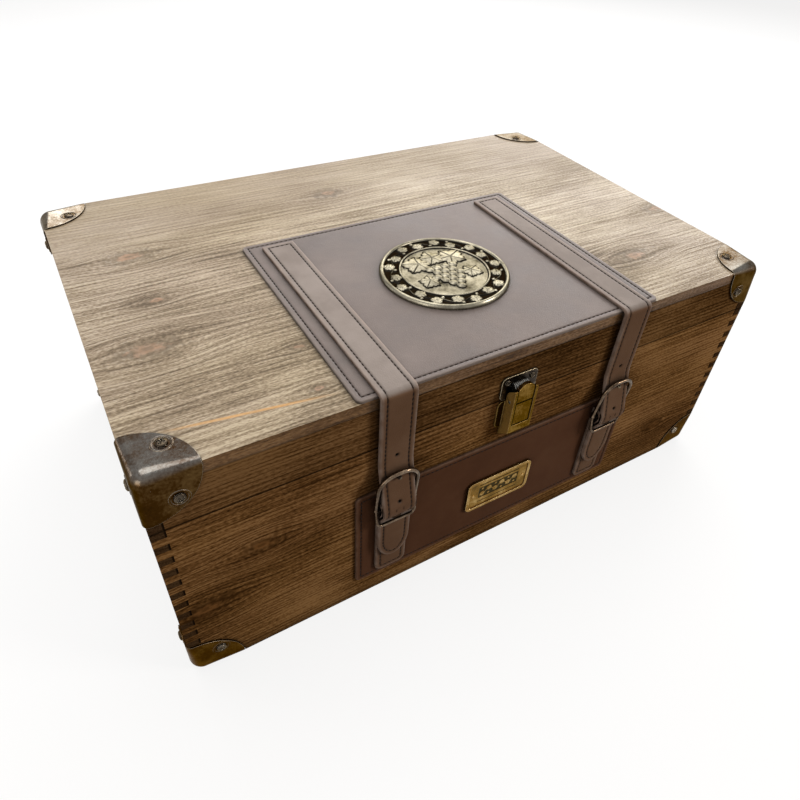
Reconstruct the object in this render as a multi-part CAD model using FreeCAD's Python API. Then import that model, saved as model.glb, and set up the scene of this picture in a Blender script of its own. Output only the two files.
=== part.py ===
import FreeCAD, Part
import math
import os

# Hinged wooden wine case: boxed boards with finger joints, a leather panel on
# the lid and one on the front, two straps with centre-bar buckles, a sprung
# lever latch and eight pressed steel corners. Millimetres, +X to the right seen
# from the front, front at -Y, +Z up, origin under the middle of the case on the
# plane that the corners stand on.

Vec = FreeCAD.Vector
X_AXIS = Vec(1, 0, 0)
Y_AXIS = Vec(0, 1, 0)
Z_AXIS = Vec(0, 0, 1)

# Wooden case
case_length = 500.0
case_depth = 326.0
case_height = 204.0
lid_height = 43.0
wall = 9.0
top_thickness = 9.0
bottom_thickness = 6.0
parting_gap = 0.4
base_fingers = 27
lid_fingers = 5
overrun = 5.0
parallel_share = 1e-6

# Pressed corners and their screws
leaf = 1.2
corner_reach = 35.5
corner_round = 8.8
corner_end_round = 2.8
corner_relief = 0.3
corner_screw_reach = 20.5
corner_ring_r = 5.4
corner_bead_r = 0.7
corner_bead_sink = 0.3
screw_shank_r = 1.5
screw_head_r = 3.5
screw_head_height = 1.9
screw_grip = 6.5
screw_clearance = 0.15

# Leather panels
panel_thickness = 2.0
panel_corner = 4.0
panel_shift = 1.5
top_panel_width = 250.0
top_panel_depth = 198.0
front_panel_width = 254.0
front_panel_drop = 41.2
front_panel_foot = 23.5

# Straps
strap_width = 25.6
strap_thickness = 2.5
strap_shift = 2.25
strap_inset = 25.25
strap_back_margin = 10.0
strap_stand_off = 2.5
strap_clearance = 0.4
strap_sag_rise = 4.8
strap_sag_round = 30.0
strap_crest_half = 3.0
strap_crest_round = 5.0
strap_settle_drop = 13.5
strap_settle_round = 5.0
strap_tip_drop = 59.5
strap_tip_length = 20.0
strap_drape_drop = 1.0
strap_lift_drop = 8.5
strap_hole_r = 1.3
strap_spare_hole_rise = 13.2
strap_spare_hole_drop = 26.5

# Buckles
bar_drop = 54.2
bar_r = 1.5
bar_clearance = 0.3
wire_r = 1.5
wire_clearance = 0.8
thin_wire_r = 1.0
shoulder_r = 1.9
arch_rise = 34.4
arch_corner = 12.5
loop_drop = 16.5
loop_corner = 4.5

# Prongs
prong_r = 1.1
prong_eye_wall = 1.2
prong_eye_width = 4.4
prong_bend = 2.0
prong_lean = 2.2
prong_hook = 6.2
prong_ball_r = 1.7
prong_hole_clearance = 0.5
prong_tip_gap = 1.4

# Sewn-down lower straps that carry the buckles
chape_thickness = 2.4
chape_margin = 6.5
chape_turn = 9.0
chape_slot_clearance = 0.6

# Latch
latch_shift = 1.0
latch_plate = 1.2
latch_plate_width = 31.0
latch_plate_round = 4.0
lid_plate_height = 20.0
latch_plate_gap = 0.6
latch_screw_r = 2.3
latch_screw_height = 1.3
latch_screw_shank_r = 1.0
latch_screw_inset = 5.0
catch_length = 12.4
catch_r = 4.8
catch_rise = 10.0
catch_ribs = 9
catch_rib_depth = 0.5
catch_groove_share = 0.5
housing_width = 20.0
housing_wall = 2.0
housing_depth = 10.0
housing_foot_height = 14.8
housing_drop = 34.0
housing_chin = 8.5
base_plate_drop = 25.5
ear_rise = 14.3
ear_fall = 6.5
ear_round = 8.0
ear_tip_round = 0.8
ear_gap = 0.4
lever_clearance = 0.7
lever_recess = 0.4
lever_thickness = 3.0
lever_nose_rise = 16.4
lever_groove = 1.0
lever_groove_depth = 1.4
lever_boss_r = 2.6
pivot_rise = 1.5
pivot_out = 5.2
pivot_r = 1.2
pivot_clearance = 0.1
spring_width = 8.0
spring_strip = 0.4
spring_bend = 1.2
spring_kink = 0.6

# Back hinges
hinge_inset = 100.0
hinge_width = 50.0
hinge_leaf_height = 18.0
hinge_leaf = 1.2
hinge_barrel_r = 2.5
hinge_axis_out = 3.0
hinge_pin_r = 1.2
hinge_pin_clearance = 0.1
hinge_pin_head_r = 2.0
hinge_pin_head = 1.0
hinge_knuckles = 3
hinge_gap = 0.4
hinge_screw_r = 2.6
hinge_screw_height = 1.2
hinge_screw_shank_r = 1.2
hinge_screw_spread_share = 0.62

# Medallion and name plate
badge_shift = 0.4
medallion_r = 49.5
medallion_floor = 1.8
medallion_rim_width = 3.2
medallion_rim_height = 3.4
medallion_ring_r = 34.0
medallion_ring_width = 2.2
medallion_ring_height = 3.0
medallion_boss_r = 12.0
medallion_boss_height = 3.2
plate_width = 61.0
plate_height = 33.0
plate_thickness = 2.2
plate_pocket = 1.0
plate_rim = 2.4
plate_round = 5.0
plate_drop = 4.75
plate_rivet_r = 1.6
plate_rivet_height = 1.2
plate_rivet_inset = 6.0

# Planes and places that follow from the sizes above
front_y = -case_depth / 2
back_y = case_depth / 2
left_x = -case_length / 2
right_x = case_length / 2
base_z = leaf
top_z = base_z + case_height
parting_z = top_z - lid_height
base_top_z = parting_z - parting_gap / 2
lid_foot_z = parting_z + parting_gap / 2
rail_top_z = top_z - top_thickness
strap_lie_z = top_z + panel_thickness
front_panel_head = parting_z - front_panel_drop
plate_centre_height = (front_panel_foot + front_panel_head) / 2 - plate_drop
bar_height = parting_z - bar_drop
strap_tip_height = bar_height - strap_tip_drop
loop_r = bar_r + bar_clearance + chape_thickness
bar_out = panel_thickness + loop_r
crest_out = bar_out + loop_r + strap_clearance
rest_out = panel_thickness + chape_thickness + strap_clearance
sag_height = bar_height + arch_rise + strap_sag_rise
crest_height = bar_height + strap_crest_half
strap_slope = math.atan2(crest_out - strap_stand_off, sag_height - crest_height)
wire_half = strap_width / 2 + wire_clearance + wire_r
strap_reach = top_panel_width / 2 - strap_inset
left_strap_x = strap_shift - strap_reach
right_strap_x = strap_shift + strap_reach
hinge_z = parting_z
hinge_x = case_length / 2 - hinge_inset
hinge_screw_drop = (hinge_leaf_height + hinge_barrel_r) / 2


def block(x0, x1, y0, y1, z0, z1):
    """Box between two corners."""
    return Part.makeBox(x1 - x0, y1 - y0, z1 - z0, Vec(x0, y0, z0))


def front(x, out, height):
    """Point that stands out from the front face."""
    return Vec(x, front_y - out, height)


def front_block(x0, x1, out0, out1, height0, height1):
    """Box that stands out from the front face."""
    return block(x0, x1, front_y - out1, front_y - out0, height0, height1)


def back_block(x0, x1, out0, out1, height0, height1):
    """Box that stands out from the back face."""
    return block(x0, x1, back_y + out0, back_y + out1, height0, height1)


def rod_x(x0, x1, y, z, radius):
    """Round rod along X."""
    return Part.makeCylinder(radius, x1 - x0, Vec(x0, y, z), X_AXIS)


def runs_along(edge, axis):
    """True for a straight edge parallel to an axis."""
    if len(edge.Vertexes) != 2:
        return False
    span = edge.Vertexes[1].Point - edge.Vertexes[0].Point
    return abs(abs(span.dot(axis)) - edge.Length) < edge.Length * parallel_share


def rounded(solid, axis, radius):
    """Solid with its edges along one axis rounded."""
    edges = [edge for edge in solid.Edges if runs_along(edge, axis)]
    return solid.makeFillet(radius, edges)


def one_solid(shape):
    """The single solid of a boolean result, with its seams merged."""
    clean = shape.removeSplitter()
    if len(clean.Solids) != 1:
        raise ValueError("expected one solid, found %d" % len(clean.Solids))
    return clean.Solids[0]


def rounded_path(points, radii):
    """Straight runs joined by tangent arcs, one radius for each inner point."""
    edges = []
    start = points[0]
    for before, corner, after, radius in zip(points, points[1:], points[2:], radii):
        into = (before - corner).normalize()
        away = (after - corner).normalize()
        half = into.getAngle(away) / 2
        reach = radius / math.tan(half)
        first = corner + into * reach
        last = corner + away * reach
        middle = corner + (into + away).normalize() * (radius / math.sin(half) - radius)
        edges.append(Part.LineSegment(start, first).toShape())
        edges.append(Part.Arc(first, middle, last).toShape())
        start = last
    edges.append(Part.LineSegment(start, points[-1]).toShape())
    return Part.Wire(edges)


def strip(points, radii, thickness, width):
    """Flat strip bent along a path, its thickness to the path's left, centred in X."""
    path = rounded_path(points, radii)
    section = path.makeOffset2D(thickness, fill=True, openResult=True)
    solid = section.extrude(X_AXIS * width)
    solid.translate(X_AXIS * (points[0].x - width / 2 - solid.BoundBox.XMin))
    return solid


def wire_sweep(path, radius):
    """Round wire along a path."""
    edge = path.OrderedEdges[0]
    start = edge.valueAt(edge.FirstParameter)
    along = edge.tangentAt(edge.FirstParameter)
    ring = Part.Wire(Part.makeCircle(radius, start, along))
    return path.makePipeShell([ring], True, True)


def screw(point, outward, head_r, head_height, shank_r, grip):
    """Domed screw whose head seats at a point and faces outward."""
    rise = (head_r ** 2 - head_height ** 2) / (2 * head_height)
    dome_r = rise + head_height
    lean = math.asin(head_r / dome_r) / 2
    shoulder = Vec(dome_r * math.sin(lean), 0, dome_r * math.cos(lean) - rise)
    rim = Vec(head_r, 0, 0)
    crown = Vec(0, 0, head_height)
    edges = [
        Part.makeLine(Vec(0, 0, -grip), Vec(shank_r, 0, -grip)),
        Part.makeLine(Vec(shank_r, 0, -grip), Vec(shank_r, 0, 0)),
        Part.makeLine(Vec(shank_r, 0, 0), rim),
        Part.Arc(rim, shoulder, crown).toShape(),
        Part.makeLine(crown, Vec(0, 0, -grip)),
    ]
    turned = Part.Face(Part.Wire(edges)).revolve(Vec(0, 0, 0), Z_AXIS, 360)
    turned.Placement = FreeCAD.Placement(point, FreeCAD.Rotation(Z_AXIS, outward))
    return turned


def pilot(point, outward, radius, depth):
    """Cutter for a screw's hole, from outside its seat to a depth below it."""
    length = depth + overrun
    return Part.makeCylinder(radius, length, point + outward * overrun, outward * -1)


# Screw places

def corner_signs():
    """The four upright edges of the case, as signs of X and Y."""
    return [(sx, sy) for sx in (-1, 1) for sy in (-1, 1)]


def corner_screw_seats(sx, sy, sz):
    """Seats of one corner's screws: both upright leaves, and the top leaf on the lid."""
    x = sx * case_length / 2
    y = sy * case_depth / 2
    z = top_z if sz > 0 else base_z
    inner_x = x - sx * corner_screw_reach
    inner_y = y - sy * corner_screw_reach
    inner_z = z - sz * corner_screw_reach
    seats = [
        (Vec(inner_x, y + sy * leaf, inner_z), Y_AXIS * sy),
        (Vec(x + sx * leaf, inner_y, inner_z), X_AXIS * sx),
    ]
    if sz > 0:
        seats.append((Vec(inner_x, inner_y, z + leaf), Z_AXIS))
    return seats


def corner_seats(sz):
    """Seats of the screws of all four corners of the lid or the base."""
    return [seat for sx, sy in corner_signs() for seat in corner_screw_seats(sx, sy, sz)]


def latch_seats(height):
    """Seats of a latch plate's two screws at one height."""
    reach = latch_plate_width / 2 - latch_screw_inset
    outward = Y_AXIS * -1
    return [(front(latch_shift + side * reach, latch_plate, height), outward) for side in (-1, 1)]


def lid_latch_seats():
    return latch_seats(lid_foot_z + latch_plate_gap + lid_plate_height - latch_screw_inset)


def hinge_seats(height):
    """Seats of the screws through both hinge leaves at one height."""
    reach = hinge_width * hinge_screw_spread_share / 2
    seats = []
    for side in (-1, 1):
        for end in (-1, 1):
            x = side * hinge_x + end * reach
            seats.append((Vec(x, back_y + hinge_leaf, height), Y_AXIS))
    return seats


def screw_group(seats, head_r, head_height, shank_r, grip):
    """Separate screws of one kind."""
    return Part.makeCompound([screw(p, d, head_r, head_height, shank_r, grip) for p, d in seats])


def drilled(solid, seats, shank_r, grip):
    """Solid with the pilot holes that reach it."""
    radius = shank_r + screw_clearance
    depth = grip + screw_clearance
    cutters = [pilot(p, d, radius, depth) for p, d in seats]
    return solid.cut(Part.makeCompound(cutters))


# Pressed corners

def corner_block(lift):
    """Corner of the case at the origin, lifted off it, with its edges rounded most near the corner."""
    reach = corner_reach + overrun + lift
    solid = block(-reach, 0, -reach, 0, -reach, 0)
    edges = []
    for edge in solid.Edges:
        if any(vertex.Point.Length < corner_relief for vertex in edge.Vertexes):
            edges.append(edge)
    solid = solid.makeFillet(corner_end_round + lift, corner_round + lift, edges)
    solid.translate(Vec(lift, lift, lift))
    return solid


def corner_shell():
    """Three quarter-round leaves around a corner of the case at the origin."""
    ball = Part.makeSphere(corner_reach)
    return one_solid(corner_block(leaf).cut(corner_block(0)).common(ball))


def corner_waste():
    """What is rounded off the wood under a corner at the origin."""
    reach = corner_reach + corner_relief
    cube = block(-reach, overrun, -reach, overrun, -reach, overrun)
    return cube.cut(corner_block(0))


def to_corner(shape, sx, sy, sz):
    """Shape made for the corner at the origin, mirrored and moved to a corner of the case."""
    moved = shape.copy()
    if sx < 0:
        moved = moved.mirror(Vec(0, 0, 0), X_AXIS)
    if sy < 0:
        moved = moved.mirror(Vec(0, 0, 0), Y_AXIS)
    if sz < 0:
        moved = moved.mirror(Vec(0, 0, 0), Z_AXIS)
    height = top_z if sz > 0 else base_z
    moved.translate(Vec(sx * case_length / 2, sy * case_depth / 2, height))
    return moved


def corner(sx, sy, sz):
    """One pressed corner with its screw holes and the raised ring pressed round each."""
    shell = to_corner(corner_shell(), sx, sy, sz)
    seats = corner_screw_seats(sx, sy, sz)
    rings = []
    for point, outward in seats:
        seat = point - outward * corner_bead_sink
        rings.append(Part.makeTorus(corner_ring_r, corner_bead_r, seat, outward))
    return one_solid(drilled(shell.fuse(rings), seats, screw_shank_r, screw_grip))


# Boards

def finger_cutters(span_low, span_high, z0, z1, count, first, place):
    """Notches for every other finger between two heights."""
    step = (z1 - z0) / count
    cutters = []
    for index in range(first, count, 2):
        low = z0 + index * step
        bottom = low - overrun if index == 0 else low
        top = low + step + overrun if index == count - 1 else low + step
        cutters.append(place(span_low, span_high, bottom, top))
    return cutters


def long_board(y0, z0, z1, count):
    """Front or back board, notched at both ends for the side boards' fingers."""
    board = block(left_x, right_x, y0, y0 + wall, z0, z1)

    def place(x0, x1, low, high):
        return block(x0, x1, y0 - overrun, y0 + wall + overrun, low, high)

    notches = finger_cutters(left_x - overrun, left_x + wall, z0, z1, count, 0, place)
    notches += finger_cutters(right_x - wall, right_x + overrun, z0, z1, count, 0, place)
    return board.cut(Part.makeCompound(notches))


def side_board(x0, z0, z1, count):
    """Left or right board, with the fingers that fill the long boards' notches."""
    board = block(x0, x0 + wall, front_y, back_y, z0, z1)

    def place(y0, y1, low, high):
        return block(x0 - overrun, x0 + wall + overrun, y0, y1, low, high)

    notches = finger_cutters(front_y - overrun, front_y + wall, z0, z1, count, 1, place)
    notches += finger_cutters(back_y - wall, back_y + overrun, z0, z1, count, 1, place)
    return board.cut(Part.makeCompound(notches))


def finished_board(board, sz, more_seats=()):
    """Board with its corners rounded for the pressed corners and its screw holes drilled."""
    waste = [to_corner(corner_waste(), sx, sy, sz) for sx, sy in corner_signs()]
    rounded_board = board.cut(Part.makeCompound(waste))
    holed = drilled(rounded_board, corner_seats(sz), screw_shank_r, screw_grip)
    for seats, shank_r, grip in more_seats:
        holed = drilled(holed, seats, shank_r, grip)
    return one_solid(holed)


def base_boards():
    hinge_holes = (hinge_seats(hinge_z - hinge_screw_drop), hinge_screw_shank_r, screw_grip)
    boards = {
        "base_front_board": long_board(front_y, base_z, base_top_z, base_fingers),
        "base_back_board": long_board(back_y - wall, base_z, base_top_z, base_fingers),
        "base_left_board": side_board(left_x, base_z, base_top_z, base_fingers),
        "base_right_board": side_board(right_x - wall, base_z, base_top_z, base_fingers),
    }
    solids = {name: finished_board(board, -1, [hinge_holes]) for name, board in boards.items()}
    solids["base_bottom_board"] = block(
        left_x + wall, right_x - wall, front_y + wall, back_y - wall,
        base_z, base_z + bottom_thickness,
    )
    return solids


def lid_boards():
    hinge_holes = (hinge_seats(hinge_z + hinge_screw_drop), hinge_screw_shank_r, screw_grip)
    latch_holes = (lid_latch_seats(), latch_screw_shank_r, screw_grip)
    holes = [hinge_holes, latch_holes]
    boards = {
        "lid_front_rail": long_board(front_y, lid_foot_z, rail_top_z, lid_fingers),
        "lid_back_rail": long_board(back_y - wall, lid_foot_z, rail_top_z, lid_fingers),
        "lid_left_rail": side_board(left_x, lid_foot_z, rail_top_z, lid_fingers),
        "lid_right_rail": side_board(right_x - wall, lid_foot_z, rail_top_z, lid_fingers),
        "lid_top_board": block(left_x, right_x, front_y, back_y, rail_top_z, top_z),
    }
    return {name: finished_board(board, 1, holes) for name, board in boards.items()}


def corners():
    sides = {-1: "left", 1: "right"}
    ends = {-1: "front", 1: "back"}
    solids = {}
    for sx, sy in corner_signs():
        solids["lid_corner_%s_%s" % (sides[sx], ends[sy])] = corner(sx, sy, 1)
        solids["base_corner_%s_%s" % (sides[sx], ends[sy])] = corner(sx, sy, -1)
    kind = (screw_head_r, screw_head_height, screw_shank_r, screw_grip)
    solids["lid_corner_screws"] = screw_group(corner_seats(1), *kind)
    solids["base_corner_screws"] = screw_group(corner_seats(-1), *kind)
    return solids


# Leather panels

def panels():
    half = top_panel_width / 2
    top = block(
        panel_shift - half, panel_shift + half, front_y, front_y + top_panel_depth,
        top_z, top_z + panel_thickness,
    )
    half = front_panel_width / 2
    face = front_block(
        panel_shift - half, panel_shift + half, 0, panel_thickness,
        front_panel_foot, front_panel_head,
    )
    return {
        "top_panel": rounded(top, Z_AXIS, panel_corner),
        "front_panel": rounded(face, Y_AXIS, panel_corner),
    }


# Straps

def strap_out(height):
    """How far the strap's back face stands out on its way down to the buckle."""
    share = (sag_height - height) / (sag_height - crest_height)
    return strap_stand_off + (crest_out - strap_stand_off) * share


def whole_strap(x):
    """Strap from its sewn end on the lid, over the front edge and through the buckle."""
    far_end = strap_back_margin - top_panel_depth
    points = [
        front(x, far_end, strap_lie_z),
        front(x, strap_stand_off, strap_lie_z),
        front(x, strap_stand_off, sag_height),
        front(x, crest_out, crest_height),
        front(x, crest_out, bar_height - strap_crest_half),
        front(x, rest_out, bar_height - strap_settle_drop),
        front(x, rest_out, strap_tip_height - overrun),
    ]
    radii = [
        strap_stand_off, strap_sag_round, strap_crest_round,
        strap_crest_round, strap_settle_round,
    ]
    return strip(points, radii, strap_thickness, strap_width)


def tip_outline(x):
    """Prism that gives the strap's tail its rounded tip."""
    half = strap_width / 2
    shoulder = strap_tip_height + strap_tip_length
    far = crest_out + strap_thickness + overrun
    right = front(x + half, 0, shoulder)
    middle = front(x, 0, shoulder)
    round_end = Part.Ellipse(front(x, 0, strap_tip_height), right, middle)
    low = Part.Arc(round_end, -math.pi / 2, math.pi / 2).toShape()
    ends = [vertex.Point for vertex in low.Vertexes]
    high = sag_height + overrun
    start, end = ends[0], ends[-1]
    top_end = Vec(end.x, end.y, high)
    top_start = Vec(start.x, start.y, high)
    sides = [
        Part.makeLine(end, top_end),
        Part.makeLine(top_end, top_start),
        Part.makeLine(top_start, start),
    ]
    outline = Part.Face(Part.Wire(Part.__sortEdges__([low] + sides)))
    return outline.extrude(Y_AXIS * -far)


def arch_height():
    return bar_height + arch_rise * math.cos(arch_tilt())


def arch_tilt():
    """Lean of the arch, so that its wire clears the strap's edges under its round corners."""
    edge_run = strap_width / 2 - (wire_half - arch_corner)
    level = arch_rise - arch_corner + math.sqrt(arch_corner ** 2 - edge_run ** 2)
    stand = (strap_thickness + strap_clearance + wire_r) / math.cos(strap_slope)
    return math.asin((strap_out(bar_height + level) + stand - bar_out) / level)


def loop_tilt():
    """Lean of the lower loop, so that its wire passes in front of the strap's tail."""
    out = rest_out + strap_thickness + strap_clearance + thin_wire_r
    return math.asin((out - bar_out) / loop_drop)


def prong_tip(x):
    """Centre of the ball at the prong's tip, in front of the strap and under the arch."""
    height = arch_height() - wire_r - prong_tip_gap - prong_ball_r
    stand = (strap_thickness + strap_clearance + prong_ball_r) / math.cos(strap_slope)
    return front(x, strap_out(height) + stand, height)


def strap_normal():
    """Direction square to the strap where the prong comes through it."""
    return Vec(0, -math.cos(strap_slope), math.sin(strap_slope))


def strap_pieces(side, x):
    """The strap's sewn length, its short bend below the lid, and its tail."""
    strap = whole_strap(x)
    drape_z = parting_z - strap_drape_drop
    lift_z = drape_z - strap_lift_drop
    wide = strap_width + overrun
    far = crest_out + strap_thickness + overrun
    deep = top_panel_depth + overrun
    high = strap_lie_z + strap_thickness + overrun
    upper = strap.common(front_block(x - wide, x + wide, -deep, far, drape_z, high))
    bend = strap.common(front_block(x - wide, x + wide, -deep, far, lift_z, drape_z))
    tail = strap.common(front_block(x - wide, x + wide, -deep, far, 0, lift_z))
    tail = tail.common(tip_outline(x))
    spare = [arch_height() + strap_spare_hole_rise, arch_height() - strap_spare_hole_drop]
    prong_hole_r = prong_r + prong_hole_clearance
    hole_start = prong_tip(x) + strap_normal() * overrun
    cutters = [
        Part.makeCylinder(prong_hole_r, prong_hook + overrun, hole_start, strap_normal() * -1)
    ]
    for height in spare:
        cutters.append(Part.makeCylinder(strap_hole_r, far, front(x, 0, height), Y_AXIS * -1))
    holes = Part.makeCompound(cutters)
    return {
        "strap_%s_upper" % side: one_solid(upper),
        "strap_%s_bend" % side: one_solid(bend.cut(holes)),
        "strap_%s_tail" % side: one_solid(tail.cut(holes)),
    }


# Buckles and the lower straps that hold them

def buckle_frame(x):
    """Arch of thick wire and loop of thin wire, joined at the shoulders by the centre bar."""
    left, right = x - wire_half, x + wire_half
    high = bar_height + arch_rise
    low = bar_height - loop_drop
    bar_centre = front(x, bar_out, bar_height)
    arch_points = [
        front(left, bar_out, bar_height), front(left, bar_out, high),
        front(right, bar_out, high), front(right, bar_out, bar_height),
    ]
    loop_points = [
        front(left, bar_out, bar_height), front(left, bar_out, low),
        front(right, bar_out, low), front(right, bar_out, bar_height),
    ]
    arch = wire_sweep(rounded_path(arch_points, [arch_corner, arch_corner]), wire_r)
    loop = wire_sweep(rounded_path(loop_points, [loop_corner, loop_corner]), thin_wire_r)
    arch.rotate(bar_centre, X_AXIS, math.degrees(arch_tilt()))
    loop.rotate(bar_centre, X_AXIS, -math.degrees(loop_tilt()))
    bar = rod_x(left, right, bar_centre.y, bar_height, bar_r)
    shoulders = [Part.makeSphere(shoulder_r, front(end, bar_out, bar_height)) for end in (left, right)]
    return one_solid(arch.fuse([loop, bar] + shoulders))


def prong(x):
    """Prong whose eye turns on the bar and whose hooked tip comes through the strap."""
    eye_r = bar_r + bar_clearance + prong_eye_wall
    bore_r = bar_r + bar_clearance
    half = prong_eye_width / 2
    bar_y = front_y - bar_out
    eye = rod_x(x - half, x + half, bar_y, bar_height, eye_r)
    bore = rod_x(x - half - overrun, x + half + overrun, bar_y, bar_height, bore_r)
    tip = prong_tip(x)
    elbow = tip - strap_normal() * prong_hook
    root = front(x, bar_out - prong_lean / 2, bar_height + bore_r)
    shank = wire_sweep(rounded_path([root, elbow, tip], [prong_bend]), prong_r)
    ball = Part.makeSphere(prong_ball_r, tip)
    return one_solid(eye.fuse([shank, ball]).cut(bore))


def lower_strap(x):
    """Strap sewn to the front panel, turned over the buckle's bar and back on itself."""
    half = strap_width / 2
    foot = front_panel_foot + chape_margin
    bar_y = front_y - bar_out
    turn_low = bar_height - chape_turn
    lap_out = panel_thickness + 2 * chape_thickness
    flat_out = panel_thickness + chape_thickness
    flat = front_block(x - half, x + half, panel_thickness, flat_out, foot, bar_height)
    lap = front_block(x - half, x + half, panel_thickness, lap_out, turn_low, bar_height)
    turn = rod_x(x - half, x + half, bar_y, bar_height, loop_r)
    bore_r = bar_r + bar_clearance
    bore = rod_x(x - half - overrun, x + half + overrun, bar_y, bar_height, bore_r)
    eye_r = bore_r + prong_eye_wall + bar_clearance
    slot_half = prong_eye_width / 2 + chape_slot_clearance
    slot = front_block(
        x - slot_half, x + slot_half, 0, crest_out,
        bar_height - eye_r, bar_height + loop_r + overrun,
    )
    return one_solid(flat.fuse([lap, turn]).cut(bore.fuse(slot)))


def strap_sets():
    solids = {}
    for side, x in (("left", left_strap_x), ("right", right_strap_x)):
        solids.update(strap_pieces(side, x))
        solids["lower_strap_%s" % side] = lower_strap(x)
        solids["buckle_%s_frame" % side] = buckle_frame(x)
        solids["buckle_%s_prong" % side] = prong(x)
    return solids


# Latch

def latch_lid_plate():
    """Plate on the lid."""
    low = lid_foot_z + latch_plate_gap
    half = latch_plate_width / 2
    plate = front_block(
        latch_shift - half, latch_shift + half, 0, latch_plate, low, low + lid_plate_height
    )
    plate = rounded(plate, Y_AXIS, latch_plate_round)
    return one_solid(drilled(plate, lid_latch_seats(), latch_screw_shank_r, screw_grip))


def latch_catch():
    """Ribbed half-round catch on the lid plate."""
    half = catch_length / 2
    height = parting_z + catch_rise
    pitch = catch_length / catch_ribs
    groove_half = pitch * catch_groove_share / 2
    y = front_y - latch_plate
    bar = rod_x(latch_shift - half, latch_shift + half, y, height, catch_r)
    grooves = []
    for index in range(catch_ribs - 1):
        x = latch_shift - half + (index + 1) * pitch
        ring = rod_x(x - groove_half, x + groove_half, y, height, catch_r + overrun)
        core = rod_x(x - pitch / 2, x + pitch / 2, y, height, catch_r - catch_rib_depth)
        grooves.append(ring.cut(core))
    reach = catch_r + overrun
    keep = front_block(
        latch_shift - catch_length, latch_shift + catch_length,
        latch_plate, latch_plate + reach, height - reach, height + reach,
    )
    return one_solid(bar.cut(Part.makeCompound(grooves)).common(keep))


def housing_levels():
    """Foot, plate top and ear top of the latch housing."""
    return parting_z - housing_drop, base_top_z - latch_plate_gap, parting_z + ear_rise


def housing_profile(x):
    """Side outline of the latch housing: sloping chin, straight front, ear rounded at the back."""
    foot, plate_top, ear_top = housing_levels()
    ear_back = latch_plate + ear_gap
    chin = front(x, housing_depth, foot + housing_chin)
    neck = front(x, ear_back, plate_top)
    low = Part.makePolygon([neck, front(x, 0, plate_top), front(x, 0, foot), chin])
    ear_points = [chin, front(x, housing_depth, ear_top), front(x, ear_back, ear_top - ear_fall), neck]
    ear = rounded_path(ear_points, [ear_tip_round, ear_round])
    return Part.Face(Part.Wire(low.Edges + ear.Edges))


def latch_housing():
    """Plate on the base with two ears and a closed foot, open at the top for the lever."""
    foot, plate_top, ear_top = housing_levels()
    half = housing_width / 2
    half_plate = latch_plate_width / 2
    x0, x1 = latch_shift - half, latch_shift + half
    plate = front_block(
        latch_shift - half_plate, latch_shift + half_plate, 0, latch_plate,
        parting_z - base_plate_drop, plate_top,
    )
    plate = rounded(plate, Y_AXIS, latch_plate_round)
    body = housing_profile(x0).extrude(X_AXIS * housing_width)
    channel = front_block(
        x0 + housing_wall, x1 - housing_wall, latch_plate, housing_depth + overrun,
        foot + housing_foot_height, ear_top + overrun,
    )
    pin_y = front_y - pivot_out
    hole = rod_x(x0 - overrun, x1 + overrun, pin_y, parting_z + pivot_rise, pivot_r + pivot_clearance)
    return one_solid(plate.fuse(body).cut(channel.fuse(hole)))


def latch_lever():
    """Lever with a pressed lower pad and a round nose that lies in front of the catch."""
    foot = housing_levels()[0]
    half = housing_width / 2 - housing_wall - lever_clearance
    x0, x1 = latch_shift - half, latch_shift + half
    low = foot + housing_foot_height + lever_clearance
    pivot = parting_z + pivot_rise
    high = pivot + lever_nose_rise
    face = housing_depth - lever_recess
    back = face - lever_thickness
    blade = front_block(x0, x1, back, face, low, high - half)
    nose = Part.makeCylinder(half, lever_thickness, front(latch_shift, back, high - half), Y_AXIS * -1)
    pad = blade.fuse(nose)
    groove = front_block(
        x0 - overrun, x1 + overrun, face - lever_groove_depth, face + overrun,
        pivot, pivot + lever_groove,
    )
    pin_y = front_y - pivot_out
    boss = rod_x(x0, x1, pin_y, pivot, lever_boss_r)
    bore = rod_x(x0 - overrun, x1 + overrun, pin_y, pivot, pivot_r + pivot_clearance)
    return one_solid(pad.fuse(boss).cut(bore.fuse(groove)))


def latch_spring():
    """Bent leaf spring between the housing plate and the lever's lower end."""
    foot = housing_levels()[0]
    lever_back = housing_depth - lever_recess - lever_thickness
    low = foot + housing_foot_height + lever_clearance
    high = parting_z + pivot_rise - lever_boss_r - pivot_clearance
    near = latch_plate + spring_strip
    far = lever_back - lever_clearance
    points = [
        front(latch_shift, near, low),
        front(latch_shift, near, high - spring_bend),
        front(latch_shift, near + 2 * spring_bend, high - spring_bend),
        front(latch_shift, far, low + spring_width),
    ]
    return strip(points, [spring_bend, spring_kink], spring_strip, spring_width)


def latch():
    half = housing_width / 2
    pin_y = front_y - pivot_out
    pin = rod_x(latch_shift - half, latch_shift + half, pin_y, parting_z + pivot_rise, pivot_r)
    kind = (latch_screw_r, latch_screw_height, latch_screw_shank_r, screw_grip)
    return {
        "latch_lid_plate": latch_lid_plate(),
        "latch_lid_screws": screw_group(lid_latch_seats(), *kind),
        "latch_catch": latch_catch(),
        "latch_housing": latch_housing(),
        "latch_lever": latch_lever(),
        "latch_pin": pin,
        "latch_spring": latch_spring(),
    }


# Back hinges

def knuckle_spans(x, own):
    """Spans of the knuckles with an even or odd place along the barrel."""
    step = hinge_width / hinge_knuckles
    start = x - hinge_width / 2
    spans = []
    for index in range(own, hinge_knuckles, 2):
        spans.append((start + index * step, start + (index + 1) * step))
    return spans


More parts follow.
